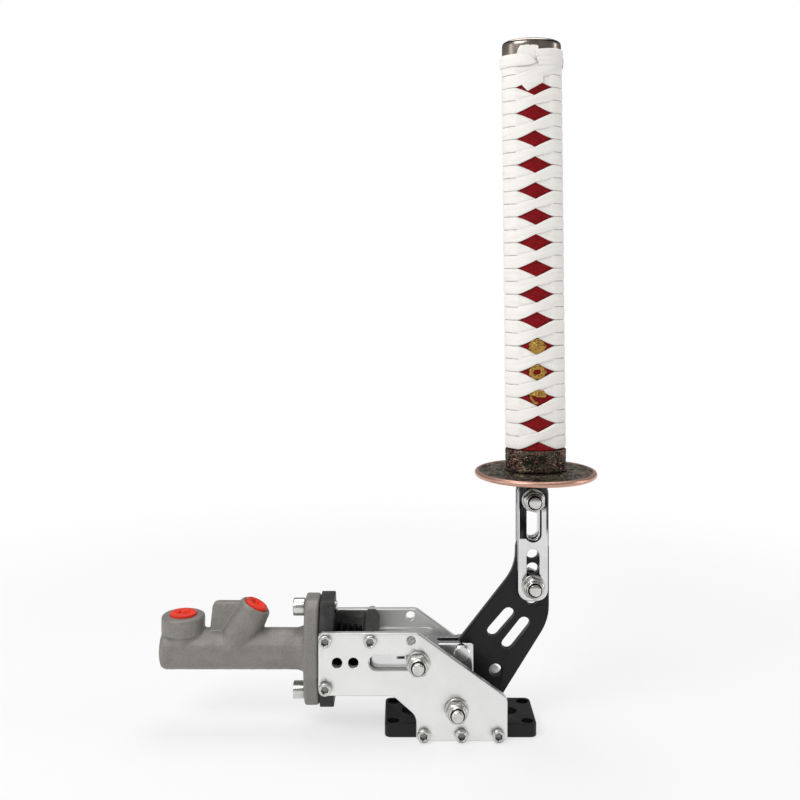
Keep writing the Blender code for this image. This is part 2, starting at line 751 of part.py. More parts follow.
def pushrod():
    """The rod from the piston's cup to the slider, with a round end."""
    length = SLIDER_LEFT - GAP - (PISTON_X - 9 * MM)
    profile = [(0, 0)]
    profile += [(x, ROD_R - z) for x, z in arc((0, 0), ROD_R, 60, 0, 3)]
    profile += [(ROD_R, length), (0, length)]
    profile[1] = (ROD_R * 0.5, 0.6 * MM)
    mesh = turned("pushrod", profile, 16)
    return add("pushrod", mesh, STEEL, at(PISTON_X - 9 * MM, 0, AXIS_Z) @ ALONG_X)


def guide_outline(ease):
    """The guide bar's section: square to the left, rounded like the end of its slot to the right."""
    half_w, half_h = GUIDE_BAR_W / 2 + ease, GUIDE_BAR_H / 2 + ease
    left, right, soft = -half_w, half_w, half_h - 0.1 * MM
    return rounded([(left, half_h, 1 * MM), (left, -half_h, 1 * MM), (right, -half_h, soft), (right, half_h, soft)])


def slider_fork():
    """The slider block between the side plates, and the fork that takes the lever plate."""
    half_w = INNER_Y - SLIDER_SIDE_CLEARANCE
    fork_half = FORK_W / 2
    height = SLIDER_RISE + SLIDER_DROP
    ease = 3 * MM
    outline = rounded(
        [
            (SLIDER_LEFT, half_w, 2 * MM),
            (SLIDER_LEFT, -half_w, 2 * MM),
            (SLIDER_RIGHT, -half_w, 2 * MM),
            (SLIDER_RIGHT, -fork_half, ease),
            (FORK_RIGHT, -fork_half, 1 * MM),
            (FORK_RIGHT, fork_half, 1 * MM),
            (SLIDER_RIGHT, fork_half, ease),
            (SLIDER_RIGHT, half_w, 2 * MM),
        ],
        3,
    )
    middle = AXIS_Z + (SLIDER_RISE - SLIDER_DROP) / 2
    made = add("slider_fork", flat("fork", outline, height, chamfer=0.8 * MM), CHROME, at(0, 0, middle))
    throat_r = LEVER_T / 2 + GAP
    throat = slot((FORK_THROAT_X + throat_r, 0), (FORK_RIGHT + 10 * MM, 0), throat_r)
    rise = [(FORK_PIN_X, -1.9 * MM), (FORK_PIN_X, 1.9 * MM)]
    pin_slot = flat("pin_slot", slot(*rise, FORK_PIN_R + 0.4 * MM), 2 * FORK_W)
    window = flat("guide_window", guide_outline(GAP), 3 * half_w)
    cut(made, [(flat("throat", throat, 2 * height), at(0, 0, middle))])
    cut(made, [(pin_slot, at(0, 0, AXIS_Z) @ ALONG_Y), (window, at(GUIDE_X, 0, AXIS_Z) @ ALONG_Y)])
    return made


def nut_mesh(flats, height, bore):
    """A lock nut centred on its height, with a round collar on its upper half."""
    half = height / 2
    body = flat("nut", hexagon(flats), height * 0.7, [circle(0, 0, bore, 12)], chamfer=0.5 * MM)
    body.transform(at(0, 0, -height * 0.15))
    collar = tube("collar", flats * 0.45, bore, height * 0.32, 12)
    collar.transform(at(0, 0, half - height * 0.16))
    return cut_mesh(body, [(collar, Matrix.Identity(4))], "UNION")


def bolt_mesh(length):
    """An M8 hexagon bolt: the head is below Z 0 and the shank points up."""
    head = flat("head", hexagon(M8_FLATS), M8_HEAD_H, chamfer=0.5 * MM)
    head.transform(at(0, 0, -M8_HEAD_H / 2))
    top = [(0, length), (M8_R - 0.7 * MM, length), (M8_R, length - 0.7 * MM), (M8_R, -1 * MM), (0, -1 * MM)]
    return cut_mesh(head, [(turned("shank", top, 16), Matrix.Identity(4))], "UNION")


def through_bolt(name, x, z, stack):
    """A bolt from the rear face of a stack of plates to a washer and a lock nut on its front."""
    face = stack + GAP
    seat = face + M8_WASHER_T + GAP
    length = face + seat + M8_NUT_H + 2.2 * MM
    bolt = add(name + "_bolt", bolt_mesh(length), STEEL, at(x, face, z) @ ALONG_Y)
    ring = tube("washer", M8_WASHER_R, M8_HOLE_R, M8_WASHER_T)
    washer = add(name + "_washer", ring, STEEL, at(x, -face - M8_WASHER_T / 2, z) @ ALONG_Y)
    nut_place = at(x, -seat - M8_NUT_H / 2, z) @ ALONG_Y
    nut = add(name + "_nut", nut_mesh(M8_FLATS, M8_NUT_H, M8_R + GAP), STEEL, nut_place)
    return [bolt, washer, nut]


def guide_bar():
    """The bar on the guide bolt, through the slider and both side plates' slots."""
    mesh = flat("bar", guide_outline(0), 2 * OUTER_Y, [circle(0, 0, M8_HOLE_R)])
    return add("guide_bar", mesh, STEEL, at(GUIDE_X, 0, AXIS_Z) @ ALONG_Y)


# What turns with the lever plate


def lever_plate():
    """The black lever plate from the pivot eye up to the adjustment holes."""
    right = LEVER_FLANK_X + LEVER_W
    outline = rounded(
        [
            (LEVER_FLANK_X, LEVER_TOP, 5 * MM),
            (LEVER_FLANK_X, LEVER_THROAT_Z, LEVER_THROAT_FILLET),
            (FORK_PIN_X - 8 * MM, LEVER_KNEE_Z, 8 * MM),
            (PIVOT_X - LEVER_EYE_R, PIVOT_Z + 5 * MM, 8 * MM),
            (PIVOT_X - LEVER_EYE_R, PIVOT_Z - LEVER_EYE_R, 0.99 * LEVER_EYE_R),
            (LEVER_TOE_X, PIVOT_Z - LEVER_EYE_R + 2 * MM, 10 * MM),
            (right, LEVER_HEEL_Z, LEVER_HEEL_FILLET),
            (right, LEVER_TOP, 5 * MM),
        ],
        6,
    )
    heights = [ADJUST_LOW_Z + i * ADJUST_PITCH for i in range(ADJUST_COUNT)]
    holes = [circle(ADJUST_X, z, M8_HOLE_R) for z in heights]
    holes += [slot(*ends, LEVER_SLOT_R) for ends in (LEVER_SLOT_UPPER, LEVER_SLOT_LOWER)]
    holes += [circle(*LEVER_SPARE_HOLE, M8_HOLE_R)]
    holes += [circle(PIVOT_X, PIVOT_Z, M8_HOLE_R + 2 * MM + GAP, 18)]
    holes += [circle(FORK_PIN_X, AXIS_Z, FORK_PIN_R + GAP)]
    mesh = flat("lever", outline, LEVER_T, holes, chamfer=0.5 * MM)
    return add("lever_plate", mesh, BLACK, ALONG_Y)


def pivot_bush():
    """The bronze bush in the lever plate's pivot eye."""
    mesh = tube("bush", M8_HOLE_R + 2 * MM, M8_HOLE_R, LEVER_T)
    return add("pivot_bush", mesh, BRONZE, at(PIVOT_X, 0, PIVOT_Z) @ ALONG_Y)


def pivot_spacers():
    """The two tubes on the pivot bolt that centre the lever plate between the side plates."""
    length = INNER_Y - LEVER_T / 2 - 2 * GAP
    middle = LEVER_T / 2 + GAP + length / 2
    for name, side in (("pivot_spacer_front", -1), ("pivot_spacer_rear", 1)):
        mesh = tube("spacer", M8_HOLE_R + 2.5 * MM, M8_HOLE_R, length)
        add(name, mesh, STEEL, at(PIVOT_X, side * middle, PIVOT_Z) @ ALONG_Y)


def fork_pin():
    """The clevis pin with a round head in front and a groove behind, held by the lever plate."""
    half = FORK_W / 2 + GAP
    tail = half + 5 * MM
    mesh = turned(
        "fork_pin",
        [
            (0, half + 3 * MM),
            (FORK_PIN_HEAD_R - 0.8 * MM, half + 3 * MM),
            (FORK_PIN_HEAD_R, half + 2.2 * MM),
            (FORK_PIN_HEAD_R, half),
            (FORK_PIN_R, half),
            (FORK_PIN_R, -half),
            (FORK_PIN_R - 0.8 * MM, -half),
            (FORK_PIN_R - 0.8 * MM, -half - 1.6 * MM),
            (FORK_PIN_R, -half - 1.6 * MM),
            (FORK_PIN_R, -tail),
            (0, -tail),
        ],
        18,
    )
    return add("fork_pin", mesh, CHROME, at(FORK_PIN_X, 0, AXIS_Z) @ ALONG_Y)


def fork_pin_clip():
    """The spring clip in the fork pin's groove."""
    mesh = tube("clip", FORK_PIN_R + 2 * MM, FORK_PIN_R - 0.8 * MM + GAP / 2, 1.0 * MM)
    middle = FORK_W / 2 + GAP + 0.8 * MM
    return add("fork_pin_clip", mesh, STEEL, at(FORK_PIN_X, middle, AXIS_Z) @ ALONG_Y)


def strap(name, side):
    """One polished strap that clamps the lever plate and the grip's tang together."""
    half = STRAP_W / 2
    corners = [(-half, STRAP_TOP), (-half, STRAP_BOTTOM), (half, STRAP_BOTTOM), (half, STRAP_TOP)]
    outline = rounded([(ADJUST_X + x, z, 8 * MM) for x, z in corners], 7)
    lower = [ADJUST_LOW_Z + i * ADJUST_PITCH for i in (1, ADJUST_COUNT - 1)]
    holes = [slot((ADJUST_X, lower[0]), (ADJUST_X, lower[1]), M8_HOLE_R)]
    holes += [slot((ADJUST_X, LEVER_TOP + 5.5 * MM), (ADJUST_X, TANG_BOLT_Z), M8_HOLE_R)]
    mesh = flat(name, outline, STRAP_T, holes, chamfer=0.6 * MM)
    return add(name, mesh, CHROME, at(0, side * (STRAP_Y + STRAP_T / 2), 0) @ ALONG_Y)


def tang():
    """The steel tang that runs up into the grip's core."""
    half = TANG_W / 2
    bottom = TANG_BOLT_Z - 8.5 * MM
    top = GUARD_Z + TANG_DEPTH
    corners = [(-half, top, 2 * MM), (-half, bottom, 6 * MM), (half, bottom, 6 * MM), (half, top, 2 * MM)]
    outline = rounded([(ADJUST_X + x, z, r) for x, z, r in corners])
    holes = [circle(ADJUST_X, TANG_BOLT_Z, M8_HOLE_R), circle(ADJUST_X, peg_height(), PEG_R + GAP, 16)]
    return add("grip_tang", flat("tang", outline, LEVER_T, holes), BLACK, ALONG_Y)


PEG_R = 3.0 * MM


def peg_height():
    """The height of the peg that locks the tang in the core."""
    return GUARD_Z + TANG_DEPTH - 18 * MM


def tang_hole(low, high):
    """The body that clears the tang through a piece of the grip."""
    half = TANG_W / 2 + GAP
    thick = LEVER_T / 2 + GAP
    return box("tang_hole", (ADJUST_X - half, -thick, low), (ADJUST_X + half, thick, high))


# Grip


def leaning(place):
    """The same place on the grip's own axis, which leans slightly from the collar up."""
    foot = at(GRIP_X, 0, WRAP_Z)
    return foot @ Matrix.Rotation(GRIP_LEAN, 4, "Y") @ foot.inverted() @ place


def guard():
    """The round hand guard, with a raised rim and a raised seat about the tang."""
    half = GUARD_T / 2
    web = half - 0.5 * MM
    mesh = turned(
        "guard",
        [
            (0, half),
            (GRIP_HALF_W + 3 * MM, half),
            (GRIP_HALF_W + 6 * MM, web),
            (GUARD_R - 5.5 * MM, web),
            (GUARD_R - 4.0 * MM, half),
            (GUARD_R - 1.2 * MM, half),
            (GUARD_R, 0),
            (GUARD_R - 1.2 * MM, -half),
            (GUARD_R - 4.0 * MM, -half),
            (GUARD_R - 5.5 * MM, -web),
            (0, -web),
        ],
        36,
    )
    made = add("hand_guard", mesh, COPPER, at(GRIP_X, 0, GUARD_Z + half))
    cut(made, [(tang_hole(GUARD_Z - 10 * MM, GUARD_TOP + 10 * MM), Matrix.Identity(4))])
    return made


def grip_collar():
    """The oval collar between the guard and the cord."""
    wide = GRIP_HALF_W
    mesh = turned(
        "collar",
        [
            (0, COLLAR_H),
            (wide - 1.2 * MM, COLLAR_H),
            (wide, COLLAR_H - 1.0 * MM),
            (wide, 2.6 * MM),
            (wide - 0.7 * MM, 2.0 * MM),
            (wide + 0.6 * MM, 1.2 * MM),
            (wide + 0.6 * MM, 0),
            (0, 0),
        ],
        28,
        GRIP_FLATTEN,
    )
    made = add("grip_collar", mesh, COPPER, at(GRIP_X, 0, COLLAR_Z))
    cut(made, [(tang_hole(COLLAR_Z - 10 * MM, WRAP_Z + 10 * MM), Matrix.Identity(4))])
    return made


def grip_core():
    """The wooden core under red ray skin, with a socket for the tang and a hole for its peg."""
    height = GRIP_TOP - WRAP_Z
    core_r = GRIP_HALF_W - WRAP_T - GAP
    place = leaning(at(GRIP_X, 0, WRAP_Z + height / 2))
    mesh = turned(
        "core", [(0, height / 2), (core_r, height / 2), (core_r, -height / 2), (0, -height / 2)], 28, GRIP_FLATTEN
    )
    made = add("grip_core", mesh, SKIN, place)
    peg = rod("peg_hole", PEG_R + GAP, 4 * GRIP_HALF_W, 16)
    cut(made, [(tang_hole(WRAP_Z - 10 * MM, GUARD_Z + TANG_DEPTH + GAP), Matrix.Identity(4))])
    cut(made, [(peg, at(ADJUST_X, 0, peg_height()) @ ALONG_Y)])
    return made


def grip_peg():
    """The peg across the core that locks the tang."""
    mesh = rod("peg", PEG_R, 2 * core_face_y() - 2 * MM, 16)
    return add("grip_peg", mesh, WOOD, at(ADJUST_X, 0, peg_height()) @ ALONG_Y)


def core_face_y():
    """How far the core's broad face lies from the middle of the grip."""
    return (GRIP_HALF_W - WRAP_T - GAP) * GRIP_FLATTEN


def window_heights(side):
    """The middle heights of the diamonds on one broad face; the rear ones sit half a pitch higher."""
    start = WINDOW_LOW_Z + (WINDOW_PITCH / 2 if side > 0 else 0)
    room = GRIP_TOP - WINDOW_TOP_MARGIN - WINDOW_LOW_Z
    return [start + i * WINDOW_PITCH for i in range(int(room / WINDOW_PITCH) + 1)]


def grip_wrap():
    """The cord sleeve, with the row of diamonds that the crossing cord leaves on each broad face."""
    height = GRIP_TOP - WRAP_Z
    inner = GRIP_HALF_W - WRAP_T
    half = height / 2
    profile = [(GRIP_HALF_W, half), (GRIP_HALF_W, -half), (inner, -half), (inner, half)]
    place = leaning(at(GRIP_X, 0, WRAP_Z + half))
    made = add("grip_wrap", turned("wrap", profile, 24, GRIP_FLATTEN), CORD, place)
    diamond = [(WINDOW_HALF_W, 0), (0, WINDOW_HALF_H), (-WINDOW_HALF_W, 0), (0, -WINDOW_HALF_H)]
    prism = flat("window", diamond, GRIP_HALF_W)
    windows = []
    for side in (-1, 1):
        for z in window_heights(side):
            if z + WINDOW_HALF_H < GRIP_TOP - 3 * MM:
                windows.append((prism, leaning(at(GRIP_X, side * GRIP_HALF_W * 0.6, z) @ ALONG_Y)))
    cut(made, windows)
    half_w = STEM_W / 2 + GAP
    reach = core_face_y() + ORNAMENT_T + 2 * GAP
    channels = []
    for side in (-1, 1):
        low, high = [window_heights(side)[row] for row in (ORNAMENT_ROWS[0], ORNAMENT_ROWS[-1])]
        channel = box("channel", (-half_w, min(0, side * reach), low), (half_w, max(0, side * reach), high))
        channels.append((channel, leaning(at(GRIP_X, 0, 0))))
    cut(made, channels)
    return made


def ornament(name, side):
    """One gilt ornament: three flowers on a stem that the cord holds down on one face of the core."""
    petals = 6
    points = []
    for i in range(petals * 3):
        angle = 2 * math.pi * i / (petals * 3)
        radius = ORNAMENT_R * (0.86 + 0.14 * math.cos(petals * angle))
        points.append((radius * math.cos(angle), radius * math.sin(angle)))
    heights = [window_heights(side)[row] for row in ORNAMENT_ROWS]
    half_stem = STEM_W / 2
    stem = box("stem", (-half_stem, -ORNAMENT_T / 2, heights[0]), (half_stem, ORNAMENT_T / 2, heights[-1]))
    place = leaning(at(GRIP_X, side * (core_face_y() + GAP + ORNAMENT_T / 2), 0))
    made = add(name, stem, GOLD, place)
    for z in heights:
        flower = flat("flower", points, ORNAMENT_T + 0.4 * MM)
        cut(made, [(flower, place @ at(0, side * 0.2 * MM, z) @ ALONG_Y)], "UNION")
    return made


def grip_cap():
    """The domed cap on the end of the grip."""
    wide = GRIP_HALF_W - 0.6 * MM
    mesh = turned(
        "cap",
        [
            (0, CAP_H),
            (wide * 0.5, CAP_H - 0.3 * MM),
            (wide * 0.84, CAP_H - 1.6 * MM),
            (wide, CAP_H - 4 * MM),
            (wide, 0),
            (0, 0),
        ],
        28,
        GRIP_FLATTEN,
    )
    return add("grip_cap", mesh, GUNMETAL, leaning(at(GRIP_X, 0, GRIP_TOP + GAP)))


def moving_group(name, x, z, members):
    """An empty on a joint's axis that carries the pieces that move with it."""
    carrier = bpy.data.objects.new(name, None)
    parts.objects.link(carrier)
    carrier.location = (x, 0, z)
    bpy.context.view_layer.update()
    for member in members:
        world = member.matrix_world.copy()
        member.parent = carrier
        member.matrix_parent_inverse = carrier.matrix_world.inverted()
        member.matrix_world = world


def build():
    """Makes every piece and groups what moves."""
    side_plate("side_plate_front", -1)
    side_plate("side_plate_rear", 1)
    base_plate()
    mount_block()
    top_spacer()
    cylinder_body()
    port_plug("outlet_plug", OUTLET_PORT_R, at(OUTLET_X, 0, OUTLET_TOP))
    port_plug("inlet_plug", INLET_PORT_R, inlet_place(0))
    flange_bolts()
    side_screws("front", -1)
    side_screws("rear", 1)
    retaining_ring()
    dust_boot()
    return_spring()
    pivot_spacers()
    through_bolt("pivot", PIVOT_X, PIVOT_Z, OUTER_Y)

    sliding = [piston(), *piston_seals(), pushrod(), slider_fork(), guide_bar()]
    sliding += through_bolt("guide", GUIDE_X, AXIS_Z, OUTER_Y)
    moving_group("slider_carrier", GUIDE_X, AXIS_Z, sliding)

    turning = [lever_plate(), pivot_bush(), fork_pin(), fork_pin_clip()]
    turning += [strap("strap_front", -1), strap("strap_rear", 1), tang()]
    stack = STRAP_Y + STRAP_T
    turning += through_bolt("strap_lower", ADJUST_X, ADJUST_LOW_Z + ADJUST_PITCH, stack)
    turning += through_bolt("strap_upper", ADJUST_X, TANG_BOLT_Z, stack)
    turning += [guard(), grip_collar(), grip_core(), grip_peg(), grip_wrap(), grip_cap()]
    turning += [ornament("ornament_front", -1), ornament("ornament_rear", 1)]
    moving_group("lever_carrier", PIVOT_X, PIVOT_Z, turning)


build()
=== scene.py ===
"""Looks of an upright hydraulic parking brake lever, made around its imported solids.

Sizes are in metres, in the frame of the solids: +X from the cylinder to the grip, -Y towards the nut side, +Z up.
Each sub-assembly is a class that builds its meshes and dresses them, and each finish is a small frozen class.
"""

import logging
import math
from collections.abc import Callable, Sequence
from dataclasses import dataclass
from enum import Enum

import bmesh
import bpy
from mathutils import Matrix, Vector, noise

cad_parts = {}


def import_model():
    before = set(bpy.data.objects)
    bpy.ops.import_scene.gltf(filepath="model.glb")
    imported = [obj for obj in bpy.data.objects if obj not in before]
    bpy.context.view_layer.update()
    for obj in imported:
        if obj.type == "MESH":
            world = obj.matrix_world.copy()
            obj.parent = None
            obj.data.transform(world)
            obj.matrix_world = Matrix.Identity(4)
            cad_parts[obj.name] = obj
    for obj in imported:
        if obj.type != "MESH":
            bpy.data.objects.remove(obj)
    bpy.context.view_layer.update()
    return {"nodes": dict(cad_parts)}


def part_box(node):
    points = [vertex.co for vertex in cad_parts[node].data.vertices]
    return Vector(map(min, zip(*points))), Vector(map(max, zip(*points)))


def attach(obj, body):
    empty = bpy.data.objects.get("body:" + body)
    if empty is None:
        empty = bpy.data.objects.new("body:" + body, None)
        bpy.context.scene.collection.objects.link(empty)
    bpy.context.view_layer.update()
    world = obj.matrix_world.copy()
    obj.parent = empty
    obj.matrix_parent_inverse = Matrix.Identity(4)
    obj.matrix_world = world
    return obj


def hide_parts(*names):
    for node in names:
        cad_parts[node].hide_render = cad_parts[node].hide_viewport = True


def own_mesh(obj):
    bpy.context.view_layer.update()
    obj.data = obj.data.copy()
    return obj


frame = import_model()

LOG = logging.getLogger("brake_lever")
MM = 0.001
TAU = math.tau
GAP = 0.3 * MM
BORE_Z = 52.0 * MM
PLATE_ROUNDING = 0.35 * MM

Mesh = bpy.types.Mesh
Socket = bpy.types.NodeSocket
Sockets = bpy.types.bpy_prop_collection
Colour = tuple[float, float, float, float]
Curve = Callable[[float], float]
Ring = tuple[float, float] | Callable[[float], tuple[float, float]]
WHITE: Colour = (1.0, 1.0, 1.0, 1.0)


class Body(Enum):
    """The rigid bodies of the lever."""

    FRAME = "frame"
    LEVER = "lever"
    PUSHROD = "pushrod"


class Hand(Enum):
    """Which way a cord climbs round the grip, seen from the nut side."""

    RISES_RIGHT = 1.0
    RISES_LEFT = -1.0


def tone(red: int, green: int, blue: int) -> Colour:
    """A colour given as it looks on a screen, 0 to 255, in the shader's linear numbers."""
    return (*((c / 255 / 12.92) if c <= 10 else ((c / 255 + 0.055) / 1.055) ** 2.4 for c in (red, green, blue)), 1.0)


def scaled(colour: Colour, *factors: float, lift: float = 0.0) -> Colour:
    """A colour with its channels multiplied by one factor or by three, then lifted, and kept within 1."""
    return (*(min(1.0, c * f + lift) for c, f in zip(colour[:3], factors * 3)), 1.0)


# Node graphs


class Value:
    """A node's output that takes part in sums as a number does."""

    def __init__(self, graph: "Graph", socket: Socket) -> None:
        """Keep the graph that the sums are added to, and the socket."""
        self.graph = graph
        self.socket = socket

    def __add__(self, other: "Value | float") -> "Value":
        """This plus the other."""
        return self.graph.sum("ADD", self, other)

    def __sub__(self, other: "Value | float") -> "Value":
        """This less the other."""
        return self.graph.sum("SUBTRACT", self, other)

    def __rsub__(self, other: "Value | float") -> "Value":
        """The other less this."""
        return self.graph.sum("SUBTRACT", other, self)

    def __mul__(self, other: "Value | float") -> "Value":
        """This times the other."""
        return self.graph.sum("MULTIPLY", self, other)

    def __truediv__(self, other: "Value | float") -> "Value":
        """This over the other."""
        return self.graph.sum("DIVIDE", self, other)

    def __abs__(self) -> "Value":
        """This without its sign."""
        return self.graph.sum("ABSOLUTE", self)

    __radd__ = __add__
    __rmul__ = __mul__


class Graph:
    """Adds nodes and links to one tree, for shaders and Geometry Nodes alike."""

    def __init__(self, tree: bpy.types.NodeTree) -> None:
        """Keep the tree that is built."""
        self.tree = tree

    def node(self, kind: str, inputs: dict | None = None, **settings: object) -> bpy.types.Node:
        """Add a node.

        Args:
            kind: The node's type.
            inputs: What its inputs take, by name or number: a value, a socket or a plain number.
            settings: The node's own properties.

        Returns:
            The new node.
        """
        made = self.tree.nodes.new(kind)
        for key, setting in settings.items():
            setattr(made, key, setting)
        for key, given in (inputs or {}).items():
            self.feed(made.inputs[key], given)
        return made

    def out(self, kind: str, inputs: dict | None = None, port: int | str = 0, **settings: object) -> Value:
        """Add a node and give one of its outputs, the first unless another is named."""
        return Value(self, self.node(kind, inputs, **settings).outputs[port])

    def feed(self, socket: Socket, given: object) -> None:
        """Link a value or socket to an input, or set the input to a constant."""
        source = given.socket if isinstance(given, Value) else given
        if isinstance(source, Socket):
            self.tree.links.new(source, socket)
        else:
            socket.default_value = source

    def sum(self, operation: str, *terms: "Value | float") -> Value:
        """One step of arithmetic on numbers."""
        return self.out("ShaderNodeMath", dict(enumerate(terms)), operation=operation)

    def largest(self, *terms: Value) -> Value:
        """The largest of several numbers."""
        return terms[0] if len(terms) == 1 else self.sum("MAXIMUM", terms[0], self.largest(*terms[1:]))

    def length(self, x: Value, y: Value) -> Value:
        """The length of a flat vector."""
        return self.sum("SQRT", x * x + y * y)

    def vector(self, x: "Value | float", y: "Value | float", z: "Value | float") -> Value:
        """A vector from three numbers."""
        return self.out("ShaderNodeCombineXYZ", {0: x, 1: y, 2: z})

    def split(self, vector: "Value | Socket") -> list[Value]:
        """The three numbers of a vector."""
        return [Value(self, end) for end in self.node("ShaderNodeSeparateXYZ", {0: vector}).outputs]

    def clamp(self, value: Value, low: float = 0.0, high: float = 1.0) -> Value:
        """The value kept between two numbers."""
        return self.sum("MINIMUM", self.sum("MAXIMUM", value, low), high)

    def smooth(self, value: Value, low: float, high: float) -> Value:
        """A soft step from 0 at low to 1 at high."""
        return self.out("ShaderNodeMapRange", {0: value, 1: low, 2: high}, interpolation_type="SMOOTHSTEP")

    def noise(self, where: object, scale: float, detail: float = 3.0) -> Value:
        """Cloudy noise about 0.5, with scale features to a metre."""
        return self.out("ShaderNodeTexNoise", {"Vector": where, "Scale": scale, "Detail": detail})

    def cells(self, where: object, scale: float) -> Value:
        """Distance to the nearest of scattered points, 0 at a point, with scale points to a metre."""
        return self.out("ShaderNodeTexVoronoi", {"Vector": where, "Scale": scale})

    def stretched(self, where: object, factors: Sequence[float]) -> Value:
        """Coordinates multiplied along each axis."""
        return self.out("ShaderNodeVectorMath", {0: where, 1: factors}, operation="MULTIPLY")

    def streaks(self, where: object, factors: Sequence[float], detail: float) -> Value:
        """Noise with its own number of features to a metre along each axis."""
        return self.noise(self.stretched(where, factors), 1.0, detail)

    def blend(self, amount: "Value | float", low: object, high: object) -> Value:
        """A colour between two colours."""
        return self.out("ShaderNodeMix", {0: amount, 6: low, 7: high}, 2, data_type="RGBA")

    def bump(self, height: Value, distance: float, normal: Value | None = None) -> Value:
        """A normal tilted by a height from 0 to 1 that stands for a distance in metres."""
        inputs = {"Height": height, "Distance": distance, "Strength": 1.0}
        if normal is not None:
            inputs["Normal"] = normal
        return self.out("ShaderNodeBump", inputs)

    def hollows(self, reach: float, low: float, high: float) -> Value:
        """1 where the open sky within reach is under low, as in a socket, and 0 where it is over high."""
        sky = self.out("ShaderNodeAmbientOcclusion", {"Distance": reach}, "AO", samples=6)
        return 1.0 - self.smooth(sky, low, high)

    def chance(self, low: float, high: float, seed: Value) -> Value:
        """A random number for each point, fixed by the seed."""
        return self.out("FunctionNodeRandomValue", {2: low, 3: high, "Seed": seed}, 1)


class Growth:
    """A Geometry Nodes tree with named inputs, whose result is baked to a plain mesh."""

    KINDS = {float: "NodeSocketFloat", int: "NodeSocketInt"}

    def __init__(self, name: str, sizes: dict[str, object], finish: "Finish") -> None:
        """Start the tree.

        Args:
            name: The tree's name.
            sizes: Each named input and what it is set to: a number or an object.
            finish: What the result is made of.
        """
        self.tree = bpy.data.node_groups.new(name, "GeometryNodeTree")
        self.graph = Graph(self.tree)
        self.sizes = {**sizes, "Material": finish.material()}
        sides = self.tree.interface
        sides.new_socket("Geometry", in_out="INPUT", socket_type="NodeSocketGeometry")
        sides.new_socket("Geometry", in_out="OUTPUT", socket_type="NodeSocketGeometry")
        for key, size in self.sizes.items():
            kind = "NodeSocketObject" if isinstance(size, bpy.types.Object) else self.KINDS.get(type(size))
            sides.new_socket(key, in_out="INPUT", socket_type=kind or "NodeSocketMaterial")
        self.entry = self.tree.nodes.new("NodeGroupInput")

    def size(self, name: str) -> Value:
        """The value of one named input."""
        return Value(self.graph, self.entry.outputs[name])

    def bake(self, geometry: Value, source: Mesh | None = None) -> Mesh:
        """Finish the tree, run it on a scratch object and return what it makes.

        Args:
            geometry: The finished geometry.
            source: The mesh that goes into the tree, if it needs one.

        Returns:
            A plain mesh with its material.
        """
        real = self.graph.out("GeometryNodeRealizeInstances", {0: geometry})
        painted = self.graph.out("GeometryNodeSetMaterial", {0: real, "Material": self.size("Material")})
        self.graph.node("NodeGroupOutput", {0: painted})
        scratch = stand_in(source or bpy.data.meshes.new("scratch"))
        modifier = scratch.modifiers.new("grow", "NODES")
        modifier.node_group = self.tree
        for item in self.tree.interface.items_tree:
            if item.in_out == "INPUT" and item.name in self.sizes:
                modifier[item.identifier] = self.sizes[item.name]
        made = evaluated(scratch)
        bpy.data.node_groups.remove(self.tree)
        return made


# Meshes


def evaluated(scratch: bpy.types.Object) -> Mesh:
    """The mesh of an object after its modifiers; the object itself is removed."""
    bpy.context.view_layer.update()
    graph = bpy.context.evaluated_depsgraph_get()
    mesh = bpy.data.meshes.new_from_object(scratch.evaluated_get(graph), preserve_all_data_layers=True, depsgraph=graph)
    bpy.data.objects.remove(scratch)
    return mesh


def shown(name: str, data: bpy.types.ID) -> bpy.types.Object:
    """A new object in the scene that carries the data."""
    made = bpy.data.objects.new(name, data)
    bpy.context.scene.collection.objects.link(made)
    return made


def stand_in(mesh: Mesh) -> bpy.types.Object:
    """A scratch object that carries a mesh through modifiers."""
    return shown("scratch", mesh)


def shaded(mesh: Mesh, crease: float = 32.0) -> Mesh:
    """The mesh shaded smooth, with edges sharper than the crease angle in degrees kept sharp."""
    mesh.shade_smooth()
    mesh.set_sharp_from_angle(angle=math.radians(crease))
    return mesh


def from_bmesh(build: bmesh.types.BMesh, name: str, outward: bool = True) -> Mesh:
    """A mesh from a bmesh, which is freed, with its faces pointing outwards."""
    if outward:
        bmesh.ops.recalc_face_normals(build, faces=build.faces)
        if build.calc_volume(signed=True) < 0:
            bmesh.ops.reverse_faces(build, faces=build.faces)
    mesh = bpy.data.meshes.new(name)
    build.to_mesh(mesh)
    build.free()
    return mesh


def lathe(rings: Sequence[Ring], sides: int, flatten: float = 1.0, tube: bool = False) -> Mesh:
    """A turned form about the Z axis.

    Args:
        rings: Radius and height of each ring from the top down, or a function of the angle that gives them.
            A radius of 0 is a pole.
        sides: Steps round the axis.
        flatten: Depth along Y over width along X.
        tube: Whether the last ring joins the first, as on a washer.

    Returns:
        The closed mesh.
    """
    build = bmesh.new()
    loops = []
    for ring in rings:
        probe = ring(0.0) if callable(ring) else ring
        loop = []
        for step in range(sides if probe[0] > 0 else 1):
            angle = TAU * step / sides
            radius, height = ring(angle) if callable(ring) else ring
            loop.append(build.verts.new((radius * math.cos(angle), radius * math.sin(angle) * flatten, height)))
        loops.append(loop)
    pairs = list(zip(loops, loops[1:])) + ([(loops[-1], loops[0])] if tube else [])
    for upper, lower in pairs:
        for i in range(sides):
            j = (i + 1) % sides
            corners = (upper[i % len(upper)], lower[i % len(lower)], lower[j % len(lower)], upper[j % len(upper)])
            corners = list(dict.fromkeys(corners))
            if len(corners) > 2:
                build.faces.new(corners)
    return shaded(from_bmesh(build, "turned"))


